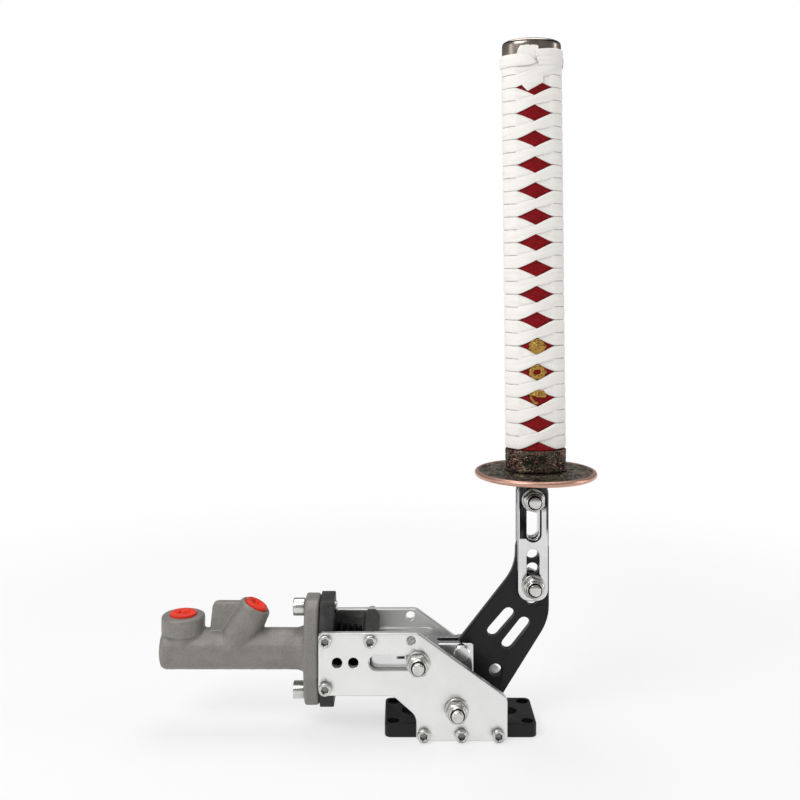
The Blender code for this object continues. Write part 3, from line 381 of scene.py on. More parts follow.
def rounded_profile(corners: Sequence[tuple[float, float, float]], steps: int = 4) -> list[tuple[float, float]]:
    """Profile points with filleted corners.

    Args:
        corners: Radius, height and fillet of each corner.
        steps: Points on each fillet.

    Returns:
        Radius and height of each point.
    """
    points = []
    for i, (radius, height, fillet) in enumerate(corners):
        here = Vector((radius, height))
        if fillet == 0 or i in (0, len(corners) - 1):
            points.append((radius, height))
            continue
        back = (Vector(corners[i - 1][:2]) - here).normalized()
        ahead = (Vector(corners[i + 1][:2]) - here).normalized()
        for step in range(steps + 1):
            t = step / steps
            point = here + back * fillet * (1 - t) ** 2 + ahead * fillet * t**2
            points.append((point.x, point.y))
    return points


def hexagon_radius(angle: float, flats: float) -> float:
    """How far a hexagon's edge lies from its middle at an angle, for a distance across flats."""
    return flats / 2 / math.cos((angle % (TAU / 6)) - TAU / 12)


def cad_copy(node: str) -> Mesh:
    """A merged copy of a node's solid, with its flat faces whole."""
    build = bmesh.new()
    build.from_mesh(frame["nodes"][node].data)
    bmesh.ops.remove_doubles(build, verts=build.verts, dist=2e-6)
    bmesh.ops.dissolve_limit(build, angle_limit=math.radians(0.5), verts=build.verts, edges=build.edges)
    return from_bmesh(build, node, outward=False)


def softened(node: str, width: float, steps: int = 2) -> Mesh:
    """A node's solid with its sharp edges rounded over."""
    scratch = stand_in(cad_copy(node))
    bevel = scratch.modifiers.new("round", "BEVEL")
    bevel.width = width
    bevel.segments = steps
    bevel.limit_method = "ANGLE"
    bevel.angle_limit = math.radians(40)
    bevel.use_clamp_overlap = False
    return shaded(evaluated(scratch), 25)


def present(mesh: Mesh, name: str, body: Body, finish: "Finish", nodes: Sequence[str] = ()) -> bpy.types.Object:
    """Show a finished mesh as a piece.

    Args:
        mesh: The mesh, in its place.
        name: The piece's name.
        body: The body it rides on.
        finish: Its finish, whose material the mesh takes.
        nodes: The solids that it stands for.

    Returns:
        The piece.
    """
    mesh.name = name
    mesh.materials.clear()
    mesh.materials.append(finish.material())
    piece = shown(name, mesh)
    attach(piece, body.value)
    if nodes:
        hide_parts(*nodes)
    LOG.info("%s: %d faces on %s", name, len(mesh.polygons), body.value)
    return piece


def present_copies(body: Body, rows: Sequence[tuple[str, str, "Finish"]]) -> None:
    """Show dressed copies of solids: each node, its piece's name and its finish."""
    for node, name, finish in rows:
        present(shaded(cad_copy(node)), name, body, finish, [node])


# Finishes


@dataclass(frozen=True)
class Finish:
    """A finish with one Principled shader; each kind of finish adds its own pattern."""

    name: str
    slot: str
    colour: Colour
    roughness: float = 0.4
    metallic: float = 0.0
    specular: float = 0.5

    def material(self) -> bpy.types.Material:
        """The material of this finish, made once."""
        found = bpy.data.materials.get(self.name)
        if found:
            return found
        made = bpy.data.materials.new(self.name)
        made.use_nodes = True
        made.node_tree.nodes.clear()
        graph = Graph(made.node_tree)
        constants = {"Metallic": self.metallic, "Specular IOR Level": self.specular}
        shader = graph.node("ShaderNodeBsdfPrincipled", constants)
        graph.node("ShaderNodeOutputMaterial", {0: shader.outputs[0]})
        self.dress(graph, shader.inputs, graph.out("ShaderNodeTexCoord", port="Object"))
        made.diffuse_color = self.colour
        return made

    def dress(self, graph: Graph, shader: Sockets, where: Value) -> None:
        """Add the finish's pattern to the shader's inputs."""
        raise NotImplementedError

    @staticmethod
    def coat(graph: Graph, shader: Sockets, colour: Value, roughness: Value, normal: Value) -> None:
        """Link what a pattern gives for the colour, the roughness and the normal."""
        for name, given in (("Base Color", colour), ("Roughness", roughness), ("Normal", normal)):
            graph.feed(shader[name], given)

    def edges(self, graph: Graph, radius: float) -> tuple[Value, Value]:
        """Shading that rounds sharp edges.

        Args:
            graph: The material's graph.
            radius: How far the rounding reaches.

        Returns:
            The rounded normal, and a mask that is 1 on the edges.
        """
        rounded = graph.out("ShaderNodeBevel", {"Radius": radius}, samples=6)
        normal = graph.out("ShaderNodeNewGeometry", port="Normal")
        facing = graph.out("ShaderNodeVectorMath", {0: rounded, 1: normal}, "Value", operation="DOT_PRODUCT")
        return rounded, 1.0 - graph.smooth(facing, 0.86, 0.99)


@dataclass(frozen=True)
class Metal(Finish):
    """Machined or plated metal with a fine grain, rounded edges, light wear on them and painted shade in its sockets.
    """

    grain: tuple[float, float, float] = (900.0, 900.0, 900.0)
    grain_depth: float = 0.012 * MM
    edge_radius: float = 0.45 * MM
    edge_colour: Colour = (0.9, 0.9, 0.9, 1.0)
    edge_wear: float = 0.5
    mottle: float = 0.1
    mottle_scale: float = 70.0
    wear_scale: float = 420.0
    # painted shade: how strongly, in what colour and how far the colour darkens where little open sky reaches, as in
    # screw sockets
    socket_shade: float = 0.0
    socket_shade_colour: Colour = tone(34, 33, 31)
    socket_shade_reach: float = 4.0 * MM

    def dress(self, graph: Graph, shader: Sockets, where: Value) -> None:
        """Grain in the bump and roughness, slow mottling in the colour, and wear on the edges."""
        fine = graph.streaks(where, self.grain, 4.0)
        broad = graph.noise(where, self.mottle_scale)
        rounded, edge = self.edges(graph, self.edge_radius)
        tint_amount = edge * self.edge_wear * (graph.smooth(graph.noise(where, self.wear_scale), 0.42, 0.6) * 0.4 + 0.6)
        body = graph.blend(graph.smooth(broad, 0.3, 0.7), scaled(self.colour, 1 - self.mottle), self.colour)
        body = graph.blend(tint_amount, body, self.edge_colour)
        # painted shade: darker colour in sockets and crevices, where the open sky within reach is small
        if self.socket_shade:
            body = graph.blend(graph.hollows(self.socket_shade_reach, 0.25, 0.92) * self.socket_shade, body, self.socket_shade_colour)
        roughness = self.roughness * (0.75 + fine * 0.3 + broad * 0.2)
        self.coat(graph, shader, body, roughness, graph.bump(fine, self.grain_depth, rounded))


@dataclass(frozen=True)
class CastMetal(Finish):
    """Sand-cast metal: a pitted grey skin with lighter high spots and darker hollows."""

    pit_scale: float = 1100.0
    pit_depth: float = 0.09 * MM
    wave_scale: float = 130.0
    stain_scale: float = 60.0

    def dress(self, graph: Graph, shader: Sockets, where: Value) -> None:
        """Grit and shallow waves in the bump, and speckle in the colour."""
        grit = graph.noise(where, self.pit_scale, 5.0)
        pits = graph.smooth(graph.cells(where, self.pit_scale * 0.45), 0.05, 0.45)
        waves = graph.noise(where, self.wave_scale)
        rounded, edge = self.edges(graph, 0.8 * MM)
        dark, light = scaled(self.colour, 0.78), scaled(self.colour, 1.12)
        stain = graph.smooth(graph.noise(where, self.stain_scale, 5.0), 0.58, 0.7) * 0.4
        body = graph.blend(graph.smooth(grit * 0.7 + waves * 0.3, 0.3, 0.7), dark, light)
        body = graph.blend(edge * 0.35, graph.blend(stain, body, dark), light)
        skin = graph.bump(grit * 0.55 + pits * 0.25 + waves * 0.9, self.pit_depth, rounded)
        self.coat(graph, shader, body, self.roughness * (0.8 + grit * 0.4), skin)


@dataclass(frozen=True)
class AgedCopper(Finish):
    """Copper darkened by age, with its high places and its rim rubbed bright."""

    bright: Colour = (0.8, 0.4, 0.3, 1.0)
    soot: Colour = tone(22, 21, 20)
    scratch: Colour = tone(190, 172, 155)
    centre_x: float = 0.0
    rim_start: float = 1.0
    rim_full: float = 2.0
    rim_waver: float = 1.2 * MM

    def dress(self, graph: Graph, shader: Sockets, where: Value) -> None:
        """Dark patina in the hollows, scratches, and bright copper past the rim's radius."""
        x, y = graph.split(where)[:2]
        radius = graph.length(x - self.centre_x, y)
        grain = graph.noise(where, 520.0, 5.0)
        broad = graph.noise(where, 95.0, 4.0)
        scratches = graph.smooth(graph.streaks(where, (1000.0, 130.0, 900.0), 2.0), 0.62, 0.7)
        patches = graph.smooth(graph.streaks(where, (90.0, 150.0, 150.0), 5.0), 0.46, 0.56)
        rim = graph.smooth(radius + (broad - 0.5) * self.rim_waver, self.rim_start, self.rim_full)
        green, warm = scaled(self.colour, 0.65, 0.95, 0.75), scaled(self.colour, 2.8, 1.9, 1.6)
        patina = graph.blend(graph.smooth(broad, 0.42, 0.58), green, self.colour)
        patina = graph.blend(patches * 0.85, patina, self.soot)
        patina = graph.blend(graph.smooth(grain, 0.52, 0.66) * 0.8, patina, warm)
        patina = graph.blend(scratches * 0.7, patina, self.scratch)
        rounded, edge = self.edges(graph, 0.5 * MM)
        shine = graph.clamp(rim + edge * graph.smooth(grain, 0.45, 0.6) * 0.8)
        roughness = self.roughness * (1.1 - shine * 0.35 + grain * 0.2)
        relief = graph.bump(grain * (1.0 - rim * 0.8), 0.12 * MM, rounded)
        self.coat(graph, shader, graph.blend(shine, patina, self.bright), roughness, relief)


@dataclass(frozen=True)
class PaintedReflectionSteel(Metal):
    """Polished steel with black painted shade and dark reflection over its upper end and round its slot, with bright
    strips left along its edges.
    """

    black: Colour = (0.01, 0.01, 0.01, 1.0)
    left_x: float = 0.0
    right_x: float = 1.0
    slot_z: float = 0.0
    slot_r: float = 1.0
    full_z: float = 1.0
    face_y: float = 0.0

    def dress(self, graph: Graph, shader: Sockets, where: Value) -> None:
        """The metal's own dressing with black painted shade and dark reflection over the fields beside and below the
        slot.
        """
        super().dress(graph, shader, where)
        x, y, z = graph.split(where)
        middle = (self.left_x + self.right_x) / 2
        # painted shade and dark reflection: masks round the slot, beside it, along the right edge and over the top, on
        # the outer face only
        reach = graph.length(x - middle, graph.sum("MINIMUM", z - self.slot_z, 0.0))
        ring = 1.0 - graph.smooth(reach, self.slot_r + 1.3 * MM, self.slot_r + 1.8 * MM)
        beside = graph.smooth(x, self.left_x + 1.3 * MM, self.left_x + 1.6 * MM)
        beside = beside * (1.0 - graph.smooth(x, middle, middle + MM))
        beside = beside * graph.smooth(z, self.slot_z - 3.6 * MM, self.slot_z - 3.0 * MM)
        edge = graph.smooth(x, self.right_x - 1.9 * MM, self.right_x - 1.5 * MM)
        edge = edge * graph.smooth(z, self.slot_z - 2.0 * MM, self.slot_z + 5.0 * MM)
        top = graph.smooth(z, self.full_z - 5.0 * MM, self.full_z)
        top = top * graph.smooth(x, self.left_x + 0.9 * MM, self.left_x + 1.3 * MM)
        outer_face = graph.smooth(0.0 - y, self.face_y - 0.2 * MM, self.face_y - 0.1 * MM)
        cover = graph.largest(ring, beside, edge, top) * outer_face
        # painted reflection: lighter streaks mottle the painted black, as a reflection of the guard's texture
        rubbed = graph.smooth(graph.streaks(where, (500.0, 500.0, 120.0), 4.0), 0.4, 0.75)
        black = graph.blend(rubbed, self.black, scaled(self.black, 6.0))
        bare = shader["Base Color"].links[0].from_socket
        graph.feed(shader["Base Color"], graph.blend(cover, bare, black))


@dataclass(frozen=True)
class Plastic(Finish):
    """Moulded plastic or rubber with a faint skin."""

    grain_scale: float = 700.0
    grain_depth: float = 0.03 * MM
    drift_scale: float = 110.0
    edge_wear: float = 0.5

    def dress(self, graph: Graph, shader: Sockets, where: Value) -> None:
        """Faint grain, and a colour that drifts a little."""
        fine = graph.noise(where, self.grain_scale, 4.0)
        broad = graph.noise(where, self.drift_scale, 2.0)
        rounded, edge = self.edges(graph, 0.35 * MM)
        body = graph.blend(graph.smooth(broad, 0.3, 0.7), scaled(self.colour, 0.8), self.colour)
        body = graph.blend(edge * self.edge_wear, body, scaled(self.colour, 1.15, lift=0.01))
        skin = graph.bump(fine, self.grain_depth, rounded)
        self.coat(graph, shader, body, self.roughness * (0.8 + fine * 0.4), skin)


@dataclass(frozen=True)
class Cord(Finish):
    """Flat woven cord; its ribs run across the cord, by the weave attribute that each cord piece carries."""

    rib: float = 0.55 * MM
    shadow: Colour = tone(158, 155, 150)
    tuck: float = 3.0 * MM

    def dress(self, graph: Graph, shader: Sockets, where: Value) -> None:
        """Ribs and threads in the bump, shadows between them and under crossings, and a little sheen."""
        weave = graph.out("ShaderNodeAttribute", port="Vector", attribute_name="weave")
        along, across = graph.split(weave)[:2]
        ribs = graph.sum("SINE", along * (TAU / self.rib)) * 0.5 + 0.5
        threads = graph.sum("SINE", across * (TAU / (self.rib * 0.8))) * 0.5 + 0.5
        fuzz = graph.noise(where, 1500.0)
        folds = graph.streaks(weave, (60.0, 420.0, 1.0), 3.0)
        # painted shade in the troughs between the ribs and along the folds, with random fuzz in the tone
        tint_amount = graph.smooth(ribs * 0.3 + fuzz * 0.4 + folds * 0.5, 0.3, 0.62)
        cloth = graph.blend(tint_amount, scaled(self.colour, 0.8), self.colour)
        # painted shadow under the crossings and in the tucks, where the open sky within reach is small
        cloth = graph.blend(graph.hollows(self.tuck, 0.35, 0.97) * 0.75, cloth, self.shadow)
        relief = graph.bump(ribs * 0.3 + threads * 0.25 + fuzz * 0.4 + folds * 1.6, 0.13 * MM)
        self.coat(graph, shader, cloth, self.roughness * (0.9 + fuzz * 0.2), relief)
        graph.feed(shader["Sheen Weight"], 0.15)
        graph.feed(shader["Sheen Roughness"], 0.5)


@dataclass(frozen=True)
class RaySkin(Finish):
    """Dyed ray skin: fine grains, with the colour darker between them."""

    grain_scale: float = 900.0

    def dress(self, graph: Graph, shader: Sockets, where: Value) -> None:
        """Round grains in the bump, and a colour that darkens between them."""
        grains = graph.cells(where, self.grain_scale)
        broad = graph.noise(where, 160.0)
        amount = graph.clamp(1.0 - graph.smooth(grains, 0.2, 0.75) * 0.7 + (broad - 0.5) * 0.8)
        dye = graph.blend(amount, scaled(self.colour, 0.4), self.colour)
        self.coat(graph, shader, dye, self.roughness * (0.8 + broad * 0.4), graph.bump(1.0 - grains, 0.15 * MM))


SILVER = Metal(
    "satin silver anodising", "silver_anodised", tone(240, 240, 238), 0.4, 1.0, grain=(300.0, 2500.0, 2500.0),
    mottle=0.04,
)
BLACK = Metal(
    "satin black anodising", "black_anodised", tone(20, 20, 21), 0.45, 0.0, 0.3,
    edge_colour=tone(125, 125, 126), edge_wear=0.55, mottle=0.3,
)
BLOCK = Metal(
    "dull black anodising", "black_anodised", tone(58, 58, 57), 0.5, 0.25, 0.3,
    edge_colour=tone(135, 135, 133), edge_wear=0.4, mottle=0.5, mottle_scale=160.0, grain_depth=0.03 * MM,
)
STEEL = Metal(
    "polished steel", "polished_steel", tone(226, 226, 226), 0.2, 1.0, grain=(1600.0, 1600.0, 200.0),
    grain_depth=0.006 * MM,
)
# bright zinc, with painted shade darkening its screw sockets
ZINC = Metal(
    "bright zinc plating", "zinc_steel", tone(214, 213, 210), 0.24, 1.0, mottle=0.14, mottle_scale=260.0, socket_shade=0.85,
)
BRONZE = Metal("turned bronze", "bronze", tone(170, 120, 65), 0.35, 1.0, mottle=0.15)
CAST = CastMetal("cast aluminium", "cast_grey", tone(138, 135, 130), 0.52, 0.3)
RED_PLASTIC = Plastic("red plug plastic", "red_plug", tone(240, 58, 32), 0.42, specular=0.3)
RUBBER = Plastic(
    "black boot rubber", "black_rubber", tone(9, 9, 9), 0.6, specular=0.06, grain_depth=0.05 * MM, edge_wear=0.0,
)
GUNMETAL = Metal(
    "dark polished gunmetal", "dark_nickel", tone(168, 156, 147), 0.24, 1.0, edge_colour=tone(205, 165, 155),
    edge_wear=0.7, mottle=0.35,
)
GOLD = Metal(
    "gilt casting", "gold", tone(204, 158, 78), 0.36, 1.0, edge_colour=tone(240, 212, 130), mottle=0.6,
    mottle_scale=900.0, grain_depth=0.06 * MM,
)
WOOD = Plastic("pale wood", "pale_wood", tone(190, 160, 120), 0.6)
WHITE_CORD = Cord("white flat cord", "white_cord", tone(251, 248, 243), 0.75, specular=0.2)
RED_SKIN = RaySkin("red ray skin", "red_skin_on_wood", tone(150, 10, 20), 0.42, specular=0.16)


# Shapes that a lathe gives and that are set in place many times


@dataclass
class Fastener:
    """A screw, bolt, nut or washer, drawn once about +Z with its seat at zero height."""

    mesh: Mesh

    @classmethod
    def socket_screw(cls, head_r: float, head_h: float, shank_r: float, length: float, crown: float) -> "Fastener":
        """A screw with a round head and a hexagonal socket.

        Args:
            head_r: The head's radius.
            head_h: How far the head stands up.
            shank_r: The shank's radius.
            length: How far the shank reaches below the seat.
            crown: How far the head's rim is rounded.

        Returns:
            The screw.
        """
        socket = head_r * 1.08
        rings: list[Ring] = [
            (0, head_h * 0.12), lambda a: (hexagon_radius(a, socket) * 0.98, head_h * 0.2),
            lambda a: (hexagon_radius(a, socket), head_h - 0.35 * MM), (socket * 0.66, head_h),
            (head_r - crown, head_h),
        ]
        steps = 5
        for step in range(1, steps + 1):
            turn = TAU / 4 * step / steps
            rings.append((head_r - crown + crown * math.sin(turn), head_h - crown + crown * math.cos(turn)))
        rings += [(head_r, 0.3 * MM), (head_r - 0.3 * MM, 0), (shank_r, 0), (shank_r, 0.5 * MM - length)]
        rings += [(shank_r - 0.5 * MM, -length), (0, -length)]
        return cls(lathe(rings, 60))

    @classmethod
    def lock_nut(cls, flats: float, height: float, bore: float) -> "Fastener":
        """A hexagonal lock nut with chamfered corners and a round collar that grips the thread."""
        shoulder = height * 0.72
        rim = flats / 2 * 0.97

        def corner(base: float, sign: float) -> Ring:
            """The ring where a flat meets the chamfer; it dips at the corners."""
            return lambda a: (
                hexagon_radius(a, flats), base - sign * (0.25 * MM + (hexagon_radius(a, flats) - flats / 2) * 0.6),
            )

        collar = rounded_profile([
            (bore, height - 0.6 * MM, 0), (bore + 0.3 * MM, height, 0.3 * MM), (rim * 0.86, height, 1.1 * MM),
            (rim * 0.93, shoulder + 0.4 * MM, 0.3 * MM), (rim * 0.95, shoulder, 0),
        ])
        rings = [*collar, (rim, shoulder), corner(shoulder, 1.0), corner(0.0, -1.0), (rim, 0), (bore, 0)]
        return cls(lathe(rings, 72, tube=True))

    @classmethod
    def washer(cls, radius: float, bore: float, thickness: float) -> "Fastener":
        """A washer with a rolled upper edge."""
        rings = [(bore, thickness), (radius - 0.5 * MM, thickness), (radius - 0.15 * MM, thickness - 0.15 * MM)]
        rings += [(radius, thickness - 0.5 * MM), (radius, 0.2 * MM), (radius - 0.2 * MM, 0), (bore, 0)]
        return cls(lathe(rings, 64, tube=True))

    @classmethod
    def bolt(cls, flats: float, head_h: float, radius: float, length: float, thread: float) -> "Fastener":
        """A hexagonal bolt with its head above the seat and a thread at the far end.

        Args:
            flats: Distance across the head's flats.
            head_h: The head's height.
            radius: The shank's radius.
            length: How far the shank reaches below the seat.
            thread: How much of the shank is threaded.

        Returns:
            The bolt.
        """
        pitch, depth, steps = 1.25 * MM, 0.45 * MM, 6
        rim = flats / 2 * 0.95

        def corner(angle: float) -> tuple[float, float]:
            """The ring where the head's flats meet its chamfer."""
            reach = hexagon_radius(angle, flats)
            return reach, head_h - 0.2 * MM - (reach - flats / 2) * 0.6

        def turn(height: float) -> Ring:
            """A ring of the thread."""
            return lambda a: (radius - depth * (0.5 - 0.5 * math.cos(TAU * height / pitch - a)), height)

        rings: list[Ring] = [(0, head_h), (rim, head_h), corner]
        rings += [lambda a: (hexagon_radius(a, flats), 0.2 * MM), (rim, 0), (radius, 0), (radius, thread - length)]
        count = int(thread / pitch * steps)
        rings += [turn(thread - length - (i + 1) * pitch / steps) for i in range(count - 2)]
        rings += [(radius - 0.9 * MM, -length), (0, -length)]
        return cls(lathe(rings, 48))

    def placed(self, name: str, spots: Sequence[tuple[Vector, Vector]], finish: Finish, seed: int) -> Mesh:
        """Copies of the fastener on a set of seats, each turned by chance about its own axis.

        Args:
            name: The tree's name.
            spots: The seat and the outward direction of each copy.
            finish: The copies' finish.
            seed: What fixes the chance turns.

        Returns:
            One mesh with every copy.
        """
        points = bpy.data.meshes.new(name)
        points.from_pydata([spot for spot, aim in spots], [], [])
        aims = points.attributes.new("aim", "FLOAT_VECTOR", "POINT")
        for entry, (spot, aim) in zip(aims.data, spots):
            entry.vector = aim
        model = stand_in(self.mesh)
        growth = Growth(name, {"Fastener": model, "Seed": seed}, finish)
        graph = growth.graph
        aim = graph.out("GeometryNodeInputNamedAttribute", {"Name": "aim"}, data_type="FLOAT_VECTOR")
        upright = graph.out("FunctionNodeAlignRotationToVector", {"Vector": aim}, axis="Z")
        angle = graph.chance(0.0, TAU, growth.size("Seed"))
        spin = graph.out("FunctionNodeAxisAngleToRotation", {"Axis": (0.0, 0.0, 1.0), "Angle": angle})
        turned = graph.out("FunctionNodeRotateRotation", {0: upright, 1: spin}, rotation_space="LOCAL")
        shape = graph.out("GeometryNodeObjectInfo", {"Object": growth.size("Fastener")}, "Geometry")
        inputs = {"Points": growth.entry.outputs[0], "Instance": shape, "Rotation": turned}
        made = growth.bake(graph.out("GeometryNodeInstanceOnPoints", inputs), points)
        bpy.data.objects.remove(model)
        return made


# Sub-assemblies


@dataclass
class Plates:
    """The frame: side plates, floor plate, mounting block, spacer bar and the screws that hold them."""

    seat_y: float = 27.3 * MM
    screw_head_r: float = 4.25 * MM
    screw_head_h: float = 3.7 * MM
    screw_r: float = 2.5 * MM
    screw_l: float = 14.7 * MM
    screw_crown: float = 0.9 * MM
    screw_places: tuple[str, ...] = (
        "block_upper", "block_lower", "spacer", "base_left", "base_middle", "base_right",
    )

    def seats(self, nodes: Sequence[str], sign: float) -> list[tuple[Vector, Vector]]:
        """The seat on a plate's outer face, and the outward direction, of each screw node."""
        middles = [(low + high) / 2 for low, high in map(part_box, nodes)]
        return [(Vector((middle.x, sign * self.seat_y, middle.z)), Vector((0, sign, 0))) for middle in middles]

    def build(self) -> None:
        """Make and dress the frame's plates, bars and screws."""
        rows = (
            ("side_plate_front", "plate_front", SILVER), ("side_plate_rear", "plate_rear", SILVER),
            ("base_plate", "base_plate_body", BLACK), ("cylinder_mount_block", "mount_block_body", BLOCK),
            ("top_spacer", "top_spacer_body", BLOCK),
        )
        for node, name, finish in rows:
            present(softened(node, PLATE_ROUNDING), name, Body.FRAME, finish, [node])
        screw = Fastener.socket_screw(
            self.screw_head_r, self.screw_head_h, self.screw_r, self.screw_l, self.screw_crown
        )
        for side, sign in (("front", -1.0), ("rear", 1.0)):
            nodes = [f"{place}_screw_{side}" for place in self.screw_places]
            mesh = screw.placed(f"plate screws {side}", self.seats(nodes, sign), ZINC, seed=3)
            present(mesh, f"plate_screws_{side}", Body.FRAME, ZINC, nodes)


@dataclass
class Cylinder:
    """The master cylinder: casting, plugs, flange bolts and what is in its bore."""

    voxel: float = 0.65 * MM
    softening: int = 7
    waves: tuple[tuple[float, float], ...] = ((180.0, 0.12 * MM), (620.0, 0.06 * MM))
    shrink: float = 0.1 * MM
    outlet_z: float = 75.5 * MM
    outlet_port_r: float = 7.0 * MM
    inlet_place: tuple[float, float, float] = (-139.8 * MM, 0.0, 81.9 * MM)
    inlet_tilt: float = math.radians(28)
    inlet_port_r: float = 6.0 * MM
    plug_depth: float = 10.0 * MM
    plug_lip: float = 1.6 * MM
    bolt_seat_x: float = -106.2 * MM
    bolt_head_r: float = 6.0 * MM
    bolt_head_h: float = 8.0 * MM
    bolt_r: float = 4.0 * MM
    bolt_l: float = 22.3 * MM
    spring_turns: float = 7.0
    spring_r: float = 7.0 * MM
    spring_wire_r: float = 0.8 * MM

    def casting(self) -> Mesh:
        """The casting with the soft edges and fillets that a sand mould leaves, and a slightly uneven skin."""
        scratch = stand_in(cad_copy("cylinder_body"))
        remesh = scratch.modifiers.new("skin", "REMESH")
        remesh.mode = "VOXEL"
        remesh.voxel_size = self.voxel
        smooth = scratch.modifiers.new("soften", "SMOOTH")
        smooth.factor = 0.5
        smooth.iterations = self.softening
        mesh = evaluated(scratch)
        normals = [vertex.normal.copy() for vertex in mesh.vertices]
        for vertex, normal in zip(mesh.vertices, normals):
            wave = sum(noise.noise(vertex.co * scale) * height for scale, height in self.waves)
            vertex.co += normal * (wave - self.shrink)
        mesh.shade_smooth()
        return mesh

    def plug(self, port_r: float, place: Matrix) -> Mesh:
        """A red transport plug with a rolled rim and a recess with six flutes.

        Args:
            port_r: The port's radius.
            place: The port face's place.

        Returns:
            The plug, in place.
        """
        lip, deep, head, root = self.plug_lip, self.plug_depth, port_r + 2.0 * MM, port_r - 0.3 * MM
        recess = port_r * 0.72

        def flute(height: float, share: float) -> Ring:
            """A ring of the recess, with six flutes."""
            return lambda a: (recess * share * (1 + 0.1 * math.cos(6 * a)), height)

        rings: list[Ring] = [(0, -0.4 * MM), flute(-0.3 * MM, 0.82), flute(0.9 * MM, 0.92), flute(1.2 * MM, 1.0)]
        rings += rounded_profile([
            (recess * 1.16, lip, 0), (head, lip, 0.9 * MM), (head, -0.7 * MM, 0.2 * MM), (root, -0.7 * MM, 0),
        ])
        rings += [(root, 0.8 * MM - deep), (port_r - 1.0 * MM, -deep), (0, -deep)]
        mesh = lathe(rings, 72)
        mesh.transform(place)
        return mesh

    def spring(self) -> Mesh:
        """The return spring as a coil, swept by Geometry Nodes along a spiral."""
        low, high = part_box("return_spring")
        sizes = {
            "Turns": self.spring_turns, "Radius": self.spring_r, "Wire": self.spring_wire_r,
            "Length": high.x - low.x - 2 * self.spring_wire_r,
        }
        growth = Growth("return spring", sizes, ZINC)
        graph, size = growth.graph, growth.size
        spiral = graph.out("GeometryNodeCurveSpiral", {
            "Resolution": 24, "Rotations": size("Turns"), "Start Radius": size("Radius"),
            "End Radius": size("Radius"), "Height": size("Length"),
        })
        ring = graph.out("GeometryNodeCurvePrimitiveCircle", {"Resolution": 10, "Radius": size("Wire")})
        mesh = growth.bake(graph.out("GeometryNodeCurveToMesh", {0: spiral, 1: ring, "Fill Caps": True}))
        start = Vector((low.x + self.spring_wire_r, 0, BORE_Z))
        mesh.transform(Matrix.Translation(start) @ Matrix.Rotation(TAU / 4, 4, "Y"))
        mesh.shade_smooth()
        return mesh

    def build(self) -> None:
        """Make and dress the cylinder."""
        present(self.casting(), "casting", Body.FRAME, CAST, ["cylinder_body"])
        low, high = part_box("outlet_plug")
        outlet = Matrix.Translation(((low.x + high.x) / 2, 0, self.outlet_z))
        inlet = Matrix.Translation(self.inlet_place) @ Matrix.Rotation(self.inlet_tilt, 4, "Y")
        for port, port_r, place in (("outlet", self.outlet_port_r, outlet), ("inlet", self.inlet_port_r, inlet)):
            present(self.plug(port_r, place), f"{port}_stopper", Body.FRAME, RED_PLASTIC, [f"{port}_plug"])
        bolt = Fastener.socket_screw(self.bolt_head_r, self.bolt_head_h, self.bolt_r, self.bolt_l, 0.7 * MM)
        nodes = ["flange_bolt_lower", "flange_bolt_upper"]
        spots = []
        for node in nodes:
            low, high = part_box(node)
            spots.append((Vector((self.bolt_seat_x, 0, (low.z + high.z) / 2)), Vector((-1, 0, 0))))
        present(bolt.placed("flange bolts", spots, ZINC, 5), "flange_bolts", Body.FRAME, ZINC, nodes)
        spring = present(self.spring(), "return_coil", Body.FRAME, ZINC, ["return_spring"])
        low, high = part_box("return_spring")
        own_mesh(spring)
        present_copies(Body.FRAME, [("retaining_ring", "circlip", ZINC)])


@dataclass
class Boot:
    """The rubber bellows between the mounting block and the pushrod."""

    folds: int = 4
    steps_per_fold: int = 10
    wall: float = 1.2 * MM
    depth: float = 3.4 * MM
    taper: float = 3.2 * MM
    neck_r: float = 4.8 * MM

    def build(self) -> None:
        """Make the bellows."""
        low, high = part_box("dust_boot")
        length, outer = high.x - low.x, high.y
        steps = self.folds * self.steps_per_fold
        skin = []
        for step in range(steps + 1):
            share = step / steps
            wave = abs(math.cos(math.pi * self.folds * share)) ** 0.7
            skin.append((outer - self.taper * share - self.depth * (1 - wave), length * 0.75 * share))
        lining = [(radius - self.wall, height) for radius, height in reversed(skin[:-1])]
        neck = [(self.neck_r + self.wall, length * 0.8), (self.neck_r + self.wall, length)]
        neck += [(self.neck_r, length), (self.neck_r, length * 0.8 - self.wall)]
        mesh = lathe([*skin, *neck, *lining], 72, tube=True)
        mesh.transform(Matrix.Translation((low.x, 0, BORE_Z)) @ Matrix.Rotation(TAU / 4, 4, "Y"))
        boot = present(shaded(mesh, 60), "bellows", Body.FRAME, RUBBER, ["dust_boot"])
        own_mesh(boot)


